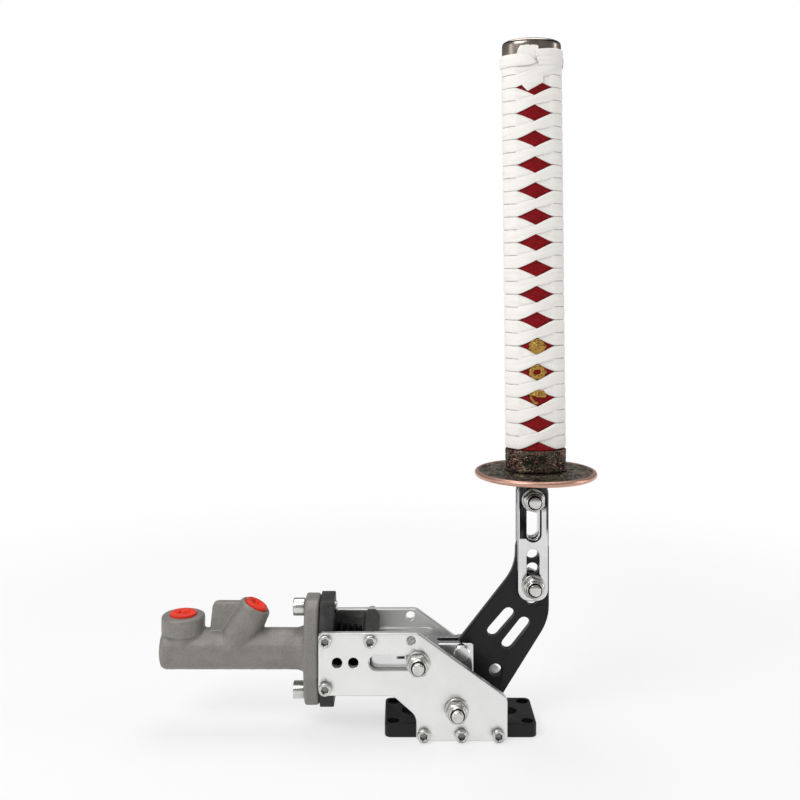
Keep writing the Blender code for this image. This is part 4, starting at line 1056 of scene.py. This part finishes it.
@dataclass
class Linkage:
    """What slides between the plates, with the guide bolt that runs in their slots, and the pivot bolt."""

    nut_flats: float = 13.0 * MM
    nut_h: float = 8.0 * MM
    head_h: float = 5.3 * MM
    bolt_r: float = 4.0 * MM
    thread_l: float = 14.0 * MM
    washer_r: float = 8.0 * MM
    washer_t: float = 1.6 * MM
    notch_x: float = -40.2 * MM
    notch_z: float = 53.4 * MM
    notch_size: tuple[float, float, float] = (5.2 * MM, 12.0 * MM, 1.7 * MM)

    def slider(self) -> Mesh:
        """The slider with the small lubrication notch in its side, seen through the plate's slot."""
        place = Matrix.Translation((self.notch_x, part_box("slider_fork")[0].y, self.notch_z))
        build = bmesh.new()
        bmesh.ops.create_cube(build, size=1.0, matrix=place @ Matrix.Diagonal((*self.notch_size, 1.0)))
        cutter = stand_in(from_bmesh(build, "notch"))
        scratch = stand_in(cad_copy("slider_fork"))
        scratch.modifiers.new("notch", "BOOLEAN").object = cutter
        made = evaluated(scratch)
        bpy.data.objects.remove(cutter)
        return shaded(made)

    def bolt_set(self, stem: str, body: Body) -> None:
        """A bolt with its washer and lock nut on the nut side.

        Args:
            stem: What the set holds, as its nodes' names begin.
            body: The body that the set rides on.
        """
        low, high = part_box(f"{stem}_washer")
        bolt_low, bolt_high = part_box(f"{stem}_bolt")
        seat = bolt_high.y - self.head_h
        bore = self.bolt_r + GAP
        bolt = Fastener.bolt(self.nut_flats, self.head_h, self.bolt_r, seat - bolt_low.y, self.thread_l)
        rows = (
            (Fastener.washer(self.washer_r, bore, self.washer_t), "washer", "ring", high.y, -1.0, 1),
            (Fastener.lock_nut(self.nut_flats, self.nut_h, bore), "nut", "lock_nut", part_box(f"{stem}_nut")[1].y,
             -1.0, len(stem)),
            (bolt, "bolt", "screw", seat, 1.0, 2),
        )
        for shape, kind, name, y, sign, seed in rows:
            spot = Vector(((low.x + high.x) / 2, y, (low.z + high.z) / 2))
            mesh = shape.placed(f"{stem} {kind}", [(spot, Vector((0, sign, 0)))], ZINC, seed)
            present(mesh, f"{stem}_{name}", body, ZINC, [f"{stem}_{kind}"])

    def build(self) -> None:
        """Make and dress the slider, its guide, the piston and the pivot."""
        self.bolt_set("pivot", Body.FRAME)
        self.bolt_set("guide", Body.PUSHROD)
        present(self.slider(), "sliding_fork", Body.PUSHROD, STEEL, ["slider_fork"])
        present_copies(Body.PUSHROD, [
            ("guide_bar", "slot_guide", ZINC), ("pushrod", "push_pin", ZINC), ("piston", "bore_piston", SILVER),
            ("piston_cup", "front_cup", RUBBER), ("piston_seal", "rear_cup", RUBBER),
        ])
        present_copies(Body.FRAME, [(f"pivot_spacer_{side}", f"pivot_sleeve_{side}", ZINC) for side in ("front", "rear")])


@dataclass
class Lever:
    """The lever plate, its bush and fork pin, the straps and the tang that carries the grip."""

    strap_rounding: float = 0.7 * MM
    slot_z: float = 132.5 * MM
    slot_r: float = 4.3 * MM
    # top of the black painted shade and dark reflection on the front strap
    black_full_z: float = 151.5 * MM

    def strap_finish(self) -> Finish:
        """Polished steel with black painted shade and dark reflection round the slot, as on the front strap."""
        low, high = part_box("strap_front")
        # the front strap's finish paints black shade and dark reflection over its upper part
        return PaintedReflectionSteel(
            "polished steel, painted dark reflection above", STEEL.slot, STEEL.colour, STEEL.roughness, STEEL.metallic,
            grain=STEEL.grain, grain_depth=STEEL.grain_depth, black=tone(24, 24, 25), left_x=low.x,
            right_x=high.x, slot_z=self.slot_z, slot_r=self.slot_r, full_z=self.black_full_z, face_y=-low.y,
        )

    def build(self) -> None:
        """Make and dress what turns with the lever, below the guard."""
        present(softened("lever_plate", PLATE_ROUNDING), "lever_body", Body.LEVER, BLACK, ["lever_plate"])
        for node, name, finish in (
            ("strap_front", "strap_nut_side", self.strap_finish()), ("strap_rear", "strap_head_side", STEEL),
        ):
            present(softened(node, self.strap_rounding, 3), name, Body.LEVER, finish, [node])
        present_copies(Body.LEVER, [
            ("grip_tang", "tang", BLACK), ("pivot_bush", "bush", BRONZE), ("fork_pin", "clevis_pin", STEEL),
            ("fork_pin_clip", "clevis_clip", ZINC),
        ])
        for stem in ("strap_lower", "strap_upper"):
            Linkage().bolt_set(stem, Body.LEVER)


@dataclass
class Guard:
    """The round hand guard and the oval collar above it."""

    centre_x: float = 52.8 * MM
    radius: float = 42.0 * MM
    seat_z: float = 171.0 * MM
    thickness: float = 4.0 * MM
    rim_r: float = 1.95 * MM
    web_rings: int = 26
    web_drop: float = 0.75 * MM
    collar_z: float = 175.3 * MM
    collar_h: float = 15.0 * MM
    collar_rows: int = 44
    half_w: float = 21.0 * MM
    flatten: float = 0.72
    hatch_pitch: float = 1.5 * MM

    def slot_edge(self, flatten: float = 1.0) -> Callable[[float], Ring]:
        """Rings along the tang's slot, an upright box outline, by height, for a lathe of the given flatness."""
        low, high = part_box("grip_tang")
        half_x, half_y = (high.x - low.x) / 2 + GAP, (high.y + GAP) / flatten

        def reach(angle: float) -> float:
            """How far the outline lies from the middle."""
            across = half_x / max(abs(math.cos(angle)), 1e-6)
            return min(across, half_y / max(abs(math.sin(angle)), 1e-6))

        return lambda height: lambda angle: (reach(angle), height)

    def disc(self) -> Mesh:
        """The guard: a thin web in relief between a rolled rim and a raised seat."""
        middle = self.thickness / 2
        lip = self.radius - self.rim_r
        slot = self.slot_edge()

        def relief(radius: float, height: float, sign: float) -> Ring:
            """A ring of the web with punched relief, from noise that is fixed."""
            def ring(angle: float) -> tuple[float, float]:
                """The web's height at an angle."""
                spot = Vector((radius * math.cos(angle), radius * math.sin(angle), sign))
                swirl = abs(noise.noise(spot * 230.0 + Vector((0, 0, 7))))
                punch = abs(noise.noise(spot * 620.0))
                return radius, height + sign * (swirl * 0.7 - punch * 0.35 - 0.1) * MM
            return ring

        inner, outer = self.half_w + 1.4 * MM, lip - 1.6 * MM
        radii = [inner + (outer - inner) * step / self.web_rings for step in range(self.web_rings + 1)]
        upper = [relief(radius, middle - self.web_drop, 1.0) for radius in radii]
        lower = [relief(radius, self.web_drop - middle, -1.0) for radius in reversed(radii)]
        rim = []
        steps = 14
        for step in range(steps + 1):
            turn = TAU * (0.36 - 0.72 * step / steps)
            rim.append((lip + self.rim_r * math.cos(turn), self.rim_r * math.sin(turn)))
        rings = [slot(middle), (inner, middle), *upper, *rim, *lower, (inner, -middle), slot(-middle)]
        mesh = lathe(rings, 240, tube=True)
        mesh.transform(Matrix.Translation((self.centre_x, 0, self.seat_z + middle)))
        return shaded(mesh, 50)

    def collar(self) -> Mesh:
        """The collar with its hatched carving between two plain bands."""
        slot = self.slot_edge(self.flatten)
        top, wide = self.collar_h, self.half_w
        edge = 1.2 * MM

        def carved(height: float) -> Ring:
            """A ring of the side, cut by slanted hatching that changes from field to field."""
            def ring(angle: float) -> tuple[float, float]:
                """The side's radius at an angle."""
                around = angle * wide * 0.86
                slant = 1.0 if noise.noise(Vector((around * 130.0, height * 200.0, 3.0))) > 0 else -0.35
                hatch = math.sin((around * slant + height) * TAU / self.hatch_pitch)
                leaf = noise.noise(Vector((around * 420.0, height * 900.0, 1.0)))
                fade = min(1.0, height / edge, (top - height) / edge)
                return wide - (0.35 + 0.22 * hatch + 0.5 * leaf) * MM * max(fade, 0.0), height
            return ring

        rows = self.collar_rows
        rings: list[Ring] = [slot(top), (wide - 1.0 * MM, top), (wide - 0.2 * MM, top - 0.5 * MM)]
        rings += [carved(top - 1.0 * MM - (top - 3.6 * MM) * row / rows) for row in range(rows + 1)]
        foot = wide + 0.6 * MM
        rings += rounded_profile([
            (wide - 0.9 * MM, 2.3 * MM, 0), (foot, 2.0 * MM, 0.6 * MM), (foot, 0, 0.5 * MM), (wide, 0, 0),
        ])
        mesh = lathe([*rings, slot(0)], 320, self.flatten, tube=True)
        mesh.transform(Matrix.Translation((self.centre_x, 0, self.collar_z)))
        return shaded(mesh, 50)

    def build(self) -> None:
        """Make and dress the guard, bright past its rim, and the collar."""
        copper = AgedCopper(
            "aged copper, rim rubbed bright", "aged_copper", tone(98, 92, 84), 0.38, 0.8,
            bright=tone(200, 156, 138), centre_x=self.centre_x, rim_start=self.radius - 3.6 * MM,
            rim_full=self.radius - 1.8 * MM,
        )
        present(self.disc(), "guard_disc", Body.LEVER, copper, ["hand_guard"])
        carved = AgedCopper(
            "aged copper, carved", "aged_copper", tone(92, 74, 68), 0.34, 0.85, bright=tone(220, 178, 162),
            centre_x=self.centre_x,
        )
        present(self.collar(), "carved_collar", Body.LEVER, carved, ["grip_collar"])


@dataclass
class Grip:
    """The sword-style grip: ray skin, crossing cord, gilt flowers, cap and the cord's knot."""

    centre_x: float = 52.8 * MM
    foot_z: float = 190.6 * MM
    lean: float = math.radians(-0.6)
    half_w: float = 21.0 * MM
    flatten: float = 0.72
    core_half_w: float = 18.5 * MM
    pitch: float = 17.56 * MM
    first_crossing_z: float = 199.92 * MM
    crossings: int = 15
    diamond_half_w: float = 13.2 * MM
    waist: float = 6.16 * MM
    cord_thin: float = 0.95 * MM
    cord_thick: float = 2.1 * MM
    cord_turn_l: float = 115.0 * MM
    steps_per_turn: int = 128
    cord_top_z: float = 461.0 * MM
    cap_top_z: float = 472.3 * MM
    cap_skirt_z: float = 459.4 * MM
    band_low_z: float = 451.3 * MM
    band_high_z: float = 459.8 * MM
    flower_r: float = 4.9 * MM
    flower_width: float = 1.2
    flower_rows: tuple[int, ...] = (1, 2, 3)
    bead_r: float = 1.05 * MM
    tendril: tuple[tuple[float, float], ...] = (
        (-4.4 * MM, 0.4 * MM), (-3.7 * MM, -0.9 * MM), (-2.9 * MM, -2.2 * MM), (-1.9 * MM, -3.3 * MM),
        (-0.6 * MM, -3.5 * MM),
    )

    def tilt(self) -> Matrix:
        """From an upright grip about its own axis to its place, leaning slightly."""
        foot = Matrix.Translation((self.centre_x, 0, self.foot_z))
        return foot @ Matrix.Rotation(self.lean, 4, "Y") @ Matrix.Translation((0, 0, -self.foot_z))

    def window_z(self, row: int, front: bool) -> float:
        """The middle height of a diamond."""
        return self.first_crossing_z + self.pitch * (row + (0.5 if front else 1.0))

    def cord(self, hand: Hand, start: float, stop: float) -> Mesh:
        """One run of the flat cord, as Geometry Nodes bend it round the grip.

        Seen from the nut side, each turn crosses the middle on a slant and lies level at the sides. The run that
        rises to the right passes over the other at the front and under it at the rear.

        Args:
            hand: Which way it climbs.
            start: Turn at which it begins, with 0 on its own low side and 0.25 at the first front crossing.
            stop: Turn at which it ends.

        Returns:
            The cord's mesh, upright about the grip's axis.
        """
        sizes = {
            "Hand": hand.value, "Start": start, "Stop": stop, "Pitch": self.pitch, "Half width": self.half_w,
            "Half depth": self.half_w * self.flatten, "First crossing": self.first_crossing_z,
            "Diamond half width": self.diamond_half_w, "Waist": self.waist, "Thin": self.cord_thin,
            "Thick": self.cord_thick,
        }
        growth = Growth("crossing cord", sizes, WHITE_CORD)
        graph = growth.graph
        side, first, last, pitch, half_w, half_d, base, reach, waist, thin, fat = map(growth.size, sizes)
        steps = int((stop - start) * self.steps_per_turn) + 1
        grid = graph.out("GeometryNodeMeshGrid", {0: 1.0, 1: 1.0, "Vertices X": steps, "Vertices Y": 25})
        run, section = graph.split(graph.out("GeometryNodeInputPosition"))[:2]
        run = run + 0.5
        turn = first + run * (last - first)
        angle = turn * TAU
        x = graph.sum("COSINE", angle) * half_w * side * -1.0
        y = graph.sum("SINE", angle) * half_d * -1.0
        whole = graph.sum("FLOOR", turn)
        front = graph.sum("LESS_THAN", turn - whole, 0.5)
        step = graph.clamp(x * side / reach, -1.0, 1.0)
        quarter = pitch * 0.25
        climb = front * quarter * step + (1.0 - front) * (pitch * 0.5 - quarter * step)
        middle = graph.sum("MAXIMUM", base + pitch * whole + climb, base - quarter)
        spread = graph.sum("MAXIMUM", abs(step), graph.sum("LESS_THAN", turn, 0.0))
        taper = graph.sum("POWER", 1.0 - spread, 1.18) * (pitch - waist)
        width = pitch - pitch * 0.5 * spread - taper - spread * (0.06 * MM)
        thick = thin + (fat - thin) * graph.smooth(spread, 0.45, 1.0)
        key = (side + 1.0) * 0.5
        below = key + front * (1.0 - key * 2.0)
        sunk = below * (1.0 - graph.smooth(spread, 0.7, 1.0)) * thin
        close = graph.clamp(run * 500.0) * graph.clamp((1.0 - run) * 500.0)
        section = (section + 0.5) * TAU
        across = self.flat_round(graph, graph.sum("COSINE", section), 0.55) * width * 0.5 * close
        lift = self.flat_round(graph, graph.sum("SINE", section), 0.4) * thick * 0.5 * close
        crown = across / width
        crease = graph.sum("COSINE", crown * (TAU * 3.0)) * (1.0 - spread) * (0.13 * MM)
        weave = graph.vector(turn * self.cord_turn_l, across, 0.0)
        wrinkle = (graph.streaks(weave, (90.0, 500.0, 1.0), 2.0) - 0.5) * (0.5 * MM)
        drop = sunk + thick * 0.5 + crown * crown * (0.6 * MM) + 0.15 * MM
        out = lift - drop + (crease + wrinkle) * graph.clamp(lift * 5000.0)
        edge = (graph.streaks(weave, (140.0, 1.0, 1.0), 1.0) - 0.5) * (0.5 * MM)
        nx, ny = x / (half_w * half_w), y / (half_d * half_d)
        size_n = graph.length(nx, ny)
        spot = graph.vector(x + nx / size_n * out, y + ny / size_n * out, middle + across + edge)
        named = graph.out(
            "GeometryNodeStoreNamedAttribute", {0: grid, "Name": "weave", "Value": weave},
            data_type="FLOAT_VECTOR", domain="POINT",
        )
        bent = graph.out("GeometryNodeSetPosition", {0: named, "Position": spot})
        mesh = growth.bake(graph.out("GeometryNodeMergeByDistance", {0: bent, "Distance": 0.02 * MM}))
        if hand is Hand.RISES_RIGHT:
            mesh.flip_normals()
        return mesh

    @staticmethod
    def flat_round(graph: Graph, wave: Value, power: float) -> Value:
        """A sine flattened at its ends, which turns a circle into a rounded box."""
        return graph.sum("SIGN", wave) * graph.sum("POWER", abs(wave), power)

    def skin(self) -> Mesh:
        """The core under its skin, an oval post up into the cap."""
        top = self.cord_top_z - self.foot_z
        rows = 60
        rings = [(0, top)] + [(self.core_half_w, top - top * row / rows) for row in range(rows + 1)] + [(0, 0)]
        mesh = lathe(rings, 96, self.flatten)
        mesh.transform(Matrix.Translation((0, 0, self.foot_z)))
        return mesh

    def nodules(self, skin: Mesh) -> Mesh:
        """The grains of the ray skin where the diamonds show it, strewn by Geometry Nodes."""
        sizes = {
            "Pitch": self.pitch, "First crossing": self.first_crossing_z, "Reach": self.diamond_half_w,
            "Gap": 1.1 * MM, "Grain": 0.62 * MM, "Flatness": 0.5, "Seed": 11,
        }
        growth = Growth("skin grains", sizes, RED_SKIN)
        graph = growth.graph
        pitch, base, reach, gap, radius, flatness, seed = map(growth.size, sizes)
        x, y, z = graph.split(graph.out("GeometryNodeInputPosition"))
        level = (z - base) / pitch - graph.sum("GREATER_THAN", y, 0.0) * 0.5
        off = abs(level - graph.sum("FLOOR", level) - 0.5) * pitch
        inside = graph.sum("LESS_THAN", abs(x) / reach + off / (pitch * 0.38), 1.0)
        strewn = graph.node("GeometryNodeDistributePointsOnFaces", {
            "Mesh": growth.entry.outputs[0], "Distance Min": gap, "Density Max": 2.0e6, "Density Factor": inside,
            "Seed": seed,
        }, distribute_method="POISSON").outputs
        ball = graph.out("GeometryNodeMeshIcoSphere", {"Radius": radius, "Subdivisions": 2})
        grain = graph.out("GeometryNodeTransform", {0: ball, "Scale": graph.vector(1.0, 1.0, flatness)})
        inputs = {
            "Points": strewn[0], "Instance": grain, "Scale": graph.chance(0.6, 1.15, seed),
            "Rotation": strewn["Rotation"],
        }
        return growth.bake(graph.out("GeometryNodeInstanceOnPoints", inputs), skin)

    def flower(self, petals: int, missing: int, centre: bool) -> Mesh:
        """One gilt flower: two rings of petals round a boss, drawn about +Z by Geometry Nodes.

        Args:
            petals: Petals in the outer ring.
            missing: How many of them the cord hides.
            centre: Whether the inner petals and the boss show.

        Returns:
            The flower's mesh.
        """
        sizes = {"Radius": self.flower_r, "Petals": petals, "Missing": missing, "Seed": petals + missing}
        growth = Growth("gilt flower", sizes, GOLD)
        graph = growth.graph
        radius, count, hidden, seed = map(growth.size, sizes)
        join = graph.node("GeometryNodeJoinGeometry")
        rings = ((0.7, 0.36, 0.5, 0.0), (0.36, 0.3, 0.6, 0.16), (0.0, 0.26, 0.7, 0.3))
        for share, grain, squash, height in rings[: len(rings) if centre else 1]:
            ring = graph.out("GeometryNodeMeshCircle", {"Vertices": count, "Radius": radius * share})
            kept = graph.sum("GREATER_THAN", graph.out("GeometryNodeInputIndex") + 0.5, hidden + 0.0)
            ball = graph.out("GeometryNodeMeshUVSphere", {"Segments": 14, "Rings": 9, "Radius": radius * grain})
            shape = graph.out("GeometryNodeTransform", {0: ball, "Scale": (1.0, 1.0, squash)})
            inputs = {
                "Points": ring, "Selection": kept, "Instance": shape, "Scale": graph.chance(0.8, 1.12, seed),
            }
            petal = graph.out("GeometryNodeInstanceOnPoints", inputs)
            rise = graph.vector(0.0, 0.0, radius * height)
            graph.feed(join.inputs[0], graph.out("GeometryNodeTransform", {0: petal, "Translation": rise}))
        return growth.bake(Value(graph, join.outputs[0]))

    def ornament(self, front: bool) -> Mesh:
        """The gilt ornament of one side: three flowers on a stem sunk in the core, and a small tendril."""
        build = bmesh.new()
        sign = -1.0 if front else 1.0
        face_y = self.core_half_w * self.flatten
        look = ((9, 4, True, -160, 1.6 * MM), (9, 0, False, 0, 0), (9, 0, True, 0, -0.3 * MM))
        wide = Matrix.Diagonal((self.flower_width, 1, 1, 1))
        for row, (petals, missing, centre, spin, rise) in zip(self.flower_rows, look):
            part = self.flower(petals, missing, centre)
            place = Matrix.Translation((0, sign * (face_y + 0.3 * MM), self.window_z(row, front) + rise))
            turned = Matrix.Rotation(math.radians(spin), 4, "Z")
            part.transform(place @ Matrix.Rotation(sign * -TAU / 4, 4, "X") @ wide @ turned)
            build.from_mesh(part)
        low, high = (self.window_z(self.flower_rows[end], front) for end in (0, -1))
        place = Matrix.Translation((0, sign * (face_y - 0.6 * MM), (low + high) / 2))
        bmesh.ops.create_cone(
            build, cap_ends=True, segments=12, radius1=1.2 * MM, radius2=1.0 * MM, depth=high - low,
            matrix=place @ Matrix.Diagonal((1, 0.4, 1, 1)),
        )
        for x, rise in self.tendril:
            place = Matrix.Translation((x * -sign, sign * (face_y + 0.1 * MM), low + rise))
            bead = place @ Matrix.Diagonal((1.0, 0.8, 1.0, 1.0))
            bmesh.ops.create_uvsphere(build, u_segments=14, v_segments=9, radius=self.bead_r, matrix=bead)
        return from_bmesh(build, "ornament")

    def cap(self) -> Mesh:
        """The domed cap with its skirt."""
        wide = self.half_w - 0.65 * MM
        top, skirt = self.cap_top_z, self.cap_skirt_z
        corners = [
            (0, top, 0), (wide * 0.55, top - 0.35 * MM, 4 * MM), (wide * 0.9, top - 2.0 * MM, 2.5 * MM),
            (wide, top - 4.2 * MM, 1.6 * MM), (wide, skirt, 0.4 * MM), (wide - 1.0 * MM, skirt, 0),
            (0, skirt + 1.0 * MM, 0),
        ]
        return lathe(rounded_profile(corners, 6), 144, self.flatten)

    def ribbon(self, turns: tuple[float, float], lower: Curve, upper: Curve, out: Curve, steps: int = 30) -> Mesh:
        """A soft strip of cord round part of the grip, for the end of the wrap.

        Args:
            turns: Where it starts and ends, in turns from the left side by way of the front.
            lower: Height of its lower edge by the share along it, in millimetres.
            upper: Height of its upper edge.
            out: How far its middle stands out from the grip's oval.
            steps: Steps along it.

        Returns:
            The closed strip.
        """
        build = bmesh.new()
        rows = []
        around = 22
        for step in range(steps + 1):
            share = step / steps
            angle = TAU * (turns[0] + (turns[1] - turns[0]) * share)
            low, high = lower(share) * MM, upper(share) * MM
            row = []
            for k in range(around):
                section = TAU * k / around
                flat = math.copysign(abs(math.cos(section)) ** 0.55, math.cos(section))
                thick = math.copysign(abs(math.sin(section)) ** 0.6, math.sin(section)) * 0.6 * MM
                fuzz = noise.noise(Vector((share * 9.0, flat * 2.0, turns[0] * 5.0))) * 0.25 * MM
                bulge = out(share) * MM + thick - 0.5 * MM * flat * flat + fuzz
                x = -(self.half_w + bulge) * math.cos(angle)
                y = -(self.half_w * self.flatten + bulge) * math.sin(angle)
                row.append(build.verts.new((x, y, (low + high) / 2 + (high - low) / 2 * flat)))
            rows.append(row)
        for one, two in zip(rows, rows[1:]):
            for k in range(around):
                build.faces.new((one[k], one[(k + 1) % around], two[(k + 1) % around], two[k]))
        build.faces.new(rows[0])
        build.faces.new(list(reversed(rows[-1])))
        mesh = from_bmesh(build, "ribbon")
        weave = mesh.attributes.new("weave", "FLOAT_VECTOR", "POINT")
        for entry, vertex in zip(weave.data, mesh.vertices):
            entry.vector = (math.atan2(vertex.co.y, vertex.co.x) * 18 * MM, vertex.co.z, 0)
        return shaded(mesh, 60)

    def knot(self) -> dict[str, Mesh]:
        """The wrap's end: a level band with a tongue, a tab behind it, the bunched knot, neck and flap."""
        def past(share: float, start: float) -> float:
            """How far a share is on its way from start to 1, and 0 before start."""
            return max(0.0, (share - start) / (1.0 - start))

        def before(share: float, stop: float) -> float:
            """How far a share is from stop, as a part of it, and 0 after it."""
            return max(0.0, 1.0 - share / stop)

        band_low, band_high = self.band_low_z / MM, self.band_high_z / MM
        parts = {
            "end_band": self.ribbon(
                (-0.5, 0.262), lambda s: band_low + 2.2 * past(s, 0.93) ** 2,
                lambda s: band_high - 5.6 * past(s, 0.9) ** 2.2, lambda s: 0.45 - 0.8 * past(s, 0.97), 110,
            ),
            "end_tab": self.ribbon(
                (0.156, 0.272), lambda s: 455.0,
                lambda s: 465.3 + 0.7 * math.sin(math.pi * s) - 4.5 * before(s, 0.2) ** 2, lambda s: -0.5,
            ),
        }
        for i, name in enumerate(("knot_upper", "knot_middle", "knot_lower")):
            parts[name] = self.ribbon(
                (0.255 + 0.008 * i, 0.5 + 0.02 * i), lambda s, d=i * 2.9: 456.8 + 2.6 * s - d,
                lambda s, d=i * 2.9: 460.2 + 3.4 * math.sin(math.pi * (0.2 + 0.5 * s)) - d,
                lambda s, k=i: 0.1 + 0.45 * math.sin(math.pi * s) - 0.25 * k,
            )
        parts["neck_band"] = self.ribbon((0.0, 1.0), lambda s: 446.5, lambda s: 457.5, lambda s: -1.25, 120)
        parts["end_flap"] = self.ribbon(
            (0.167, 0.296), lambda s: 434.2 + 6.0 * before(s, 0.36) + 5.6 * past(s, 0.36),
            lambda s: 444.5 + 1.5 * s, lambda s: -0.55,
        )
        return parts

    def build(self) -> None:
        """Make and dress the grip."""
        skin = self.skin()
        grains = self.nodules(skin.copy())
        last = self.crossings - 0.3
        rows = [
            (shaded(skin), "core_skin", RED_SKIN, ["grip_core"]), (shaded(grains), "skin_grains", RED_SKIN, []),
            (self.cord(Hand.RISES_RIGHT, -0.55, last), "cord_rising_right", WHITE_CORD, ["grip_wrap"]),
            (self.cord(Hand.RISES_LEFT, -0.05, last), "cord_rising_left", WHITE_CORD, []),
        ]
        for mesh, name, finish, nodes in rows[2:]:
            shaded(mesh, 60)
        for front, side in ((True, "front"), (False, "rear")):
            flowers = shaded(self.ornament(front))
            rows.append((flowers, f"gilt_flowers_{side}", GOLD, [f"ornament_{side}"]))
        rows += [(mesh, name, WHITE_CORD, []) for name, mesh in self.knot().items()]
        rows.append((shaded(self.cap(), 40), "end_cap", GUNMETAL, ["grip_cap"]))
        tilt = self.tilt()
        for mesh, name, finish, nodes in rows:
            mesh.transform(tilt)
            present(mesh, name, Body.LEVER, finish, nodes)
        present_copies(Body.LEVER, [("grip_peg", "lock_peg", WOOD)])


@dataclass
class Studio:
    """The pale floor, soft light and the camera at the photograph's view."""

    camera_place: tuple[float, float, float] = (-40.75 * MM, -717.0 * MM, 317.0 * MM)
    lens: float = 46.755
    shift_y: float = -0.17
    aim: tuple[float, float, float] = (-0.04, 0.0, 0.2)
    floor_size: float = 6.0
    floor_drop: float = 0.2 * MM
    fade_start: float = 0.35
    fade_full: float = 0.75
    near_white: float = 0.62
    fill: float = 0.46
    room_band: float = 0.24
    lamps: tuple[tuple[tuple[float, float, float], float, float, float], ...] = (
        ((-0.9, -1.1, 1.5), 1.0, 1.0, 16.0), ((-1.3, -0.45, 0.45), 0.35, 1.0, 1.8),
        ((1.3, -0.1, 0.45), 0.25, 1.0, 3.0), ((0.0, 0.5, 1.7), 1.0, 1.0, 8.0),
    )

    def camera(self) -> None:
        """A level camera whose view is shifted down, as in the photograph."""
        data = bpy.data.cameras.new("camera")
        data.sensor_width = 36.0
        data.lens = self.lens
        data.shift_y = self.shift_y
        made = shown("camera", data)
        made.location = self.camera_place
        made.rotation_euler = (TAU / 4, 0, 0)
        bpy.context.scene.camera = made

    def floor(self) -> None:
        """A pale floor that takes the shadow and fades to plain white away from the object."""
        build = bmesh.new()
        bmesh.ops.create_grid(build, x_segments=2, y_segments=2, size=self.floor_size / 2)
        mesh = from_bmesh(build, "floor", outward=False)
        made = shown("floor", mesh)
        made.location = (0, 0, -self.floor_drop)
        material = bpy.data.materials.new("pale floor")
        material.use_nodes = True
        material.node_tree.nodes.clear()
        graph = Graph(material.node_tree)
        x, y = graph.split(graph.out("ShaderNodeTexCoord", port="Object"))[:2]
        away = graph.smooth(graph.length(x - self.aim[0], y), self.fade_start, self.fade_full)
        ray = graph.node("ShaderNodeLightPath").outputs
        seen = graph.sum("MAXIMUM", Value(graph, ray["Is Camera Ray"]), Value(graph, ray["Is Glossy Ray"]))
        matt = graph.out("ShaderNodeBsdfDiffuse", {"Color": (0.9, 0.9, 0.9, 1.0)})
        white = graph.out("ShaderNodeEmission", {"Color": WHITE, "Strength": 1.0})
        cover = (away * (1.0 - self.near_white) + self.near_white) * seen
        mixed = graph.out("ShaderNodeMixShader", {0: cover, 1: matt, 2: white})
        graph.node("ShaderNodeOutputMaterial", {0: mixed})
        mesh.materials.append(material)

    def lamp(self, place: tuple[float, float, float], size: float, tall: float, power: float) -> None:
        """A soft box, wide by tall, aimed at the middle of the object."""
        data = bpy.data.lights.new("soft box", "AREA")
        data.shape = "RECTANGLE"
        data.size = size
        data.size_y = tall
        data.energy = power
        made = shown("soft box", data)
        made.location = place
        made.rotation_euler = (Vector(self.aim) - Vector(place)).to_track_quat("-Z", "Y").to_euler()

    def world(self) -> None:
        """White behind the object and in reflections, dimmer as a light, with a darker band in reflections."""
        world = bpy.data.worlds.new("studio")
        bpy.context.scene.world = world
        world.use_nodes = True
        world.node_tree.nodes.clear()
        graph = Graph(world.node_tree)
        ray = graph.node("ShaderNodeLightPath").outputs
        rise = graph.split(graph.out("ShaderNodeTexCoord", port="Generated"))[2]
        band = graph.smooth(rise, 0.0, 0.15) * (1.0 - graph.smooth(rise, 0.72, 0.9))
        room = graph.blend(band, WHITE, scaled(WHITE, self.room_band))
        colour = graph.blend(Value(graph, ray["Is Glossy Ray"]), scaled(WHITE, self.fill), room)
        colour = graph.blend(Value(graph, ray["Is Camera Ray"]), colour, WHITE)
        background = graph.out("ShaderNodeBackground", {"Color": colour, "Strength": 1.0})
        graph.node("ShaderNodeOutputWorld", {0: background})

    def build(self) -> None:
        """Set up the studio."""
        bpy.context.scene.view_settings.view_transform = "Standard"
        self.camera()
        self.floor()
        self.world()
        for lamp in self.lamps:
            self.lamp(*lamp)


def main() -> None:
    """Build every sub-assembly in order, logging each one."""
    logging.basicConfig(level=logging.INFO, format="%(name)s: %(message)s")
    for assembly in (Studio(), Plates(), Cylinder(), Boot(), Linkage(), Lever(), Guard(), Grip()):
        LOG.info("building %s", type(assembly).__name__)
        assembly.build()


if __name__ == "__main__":
    main()
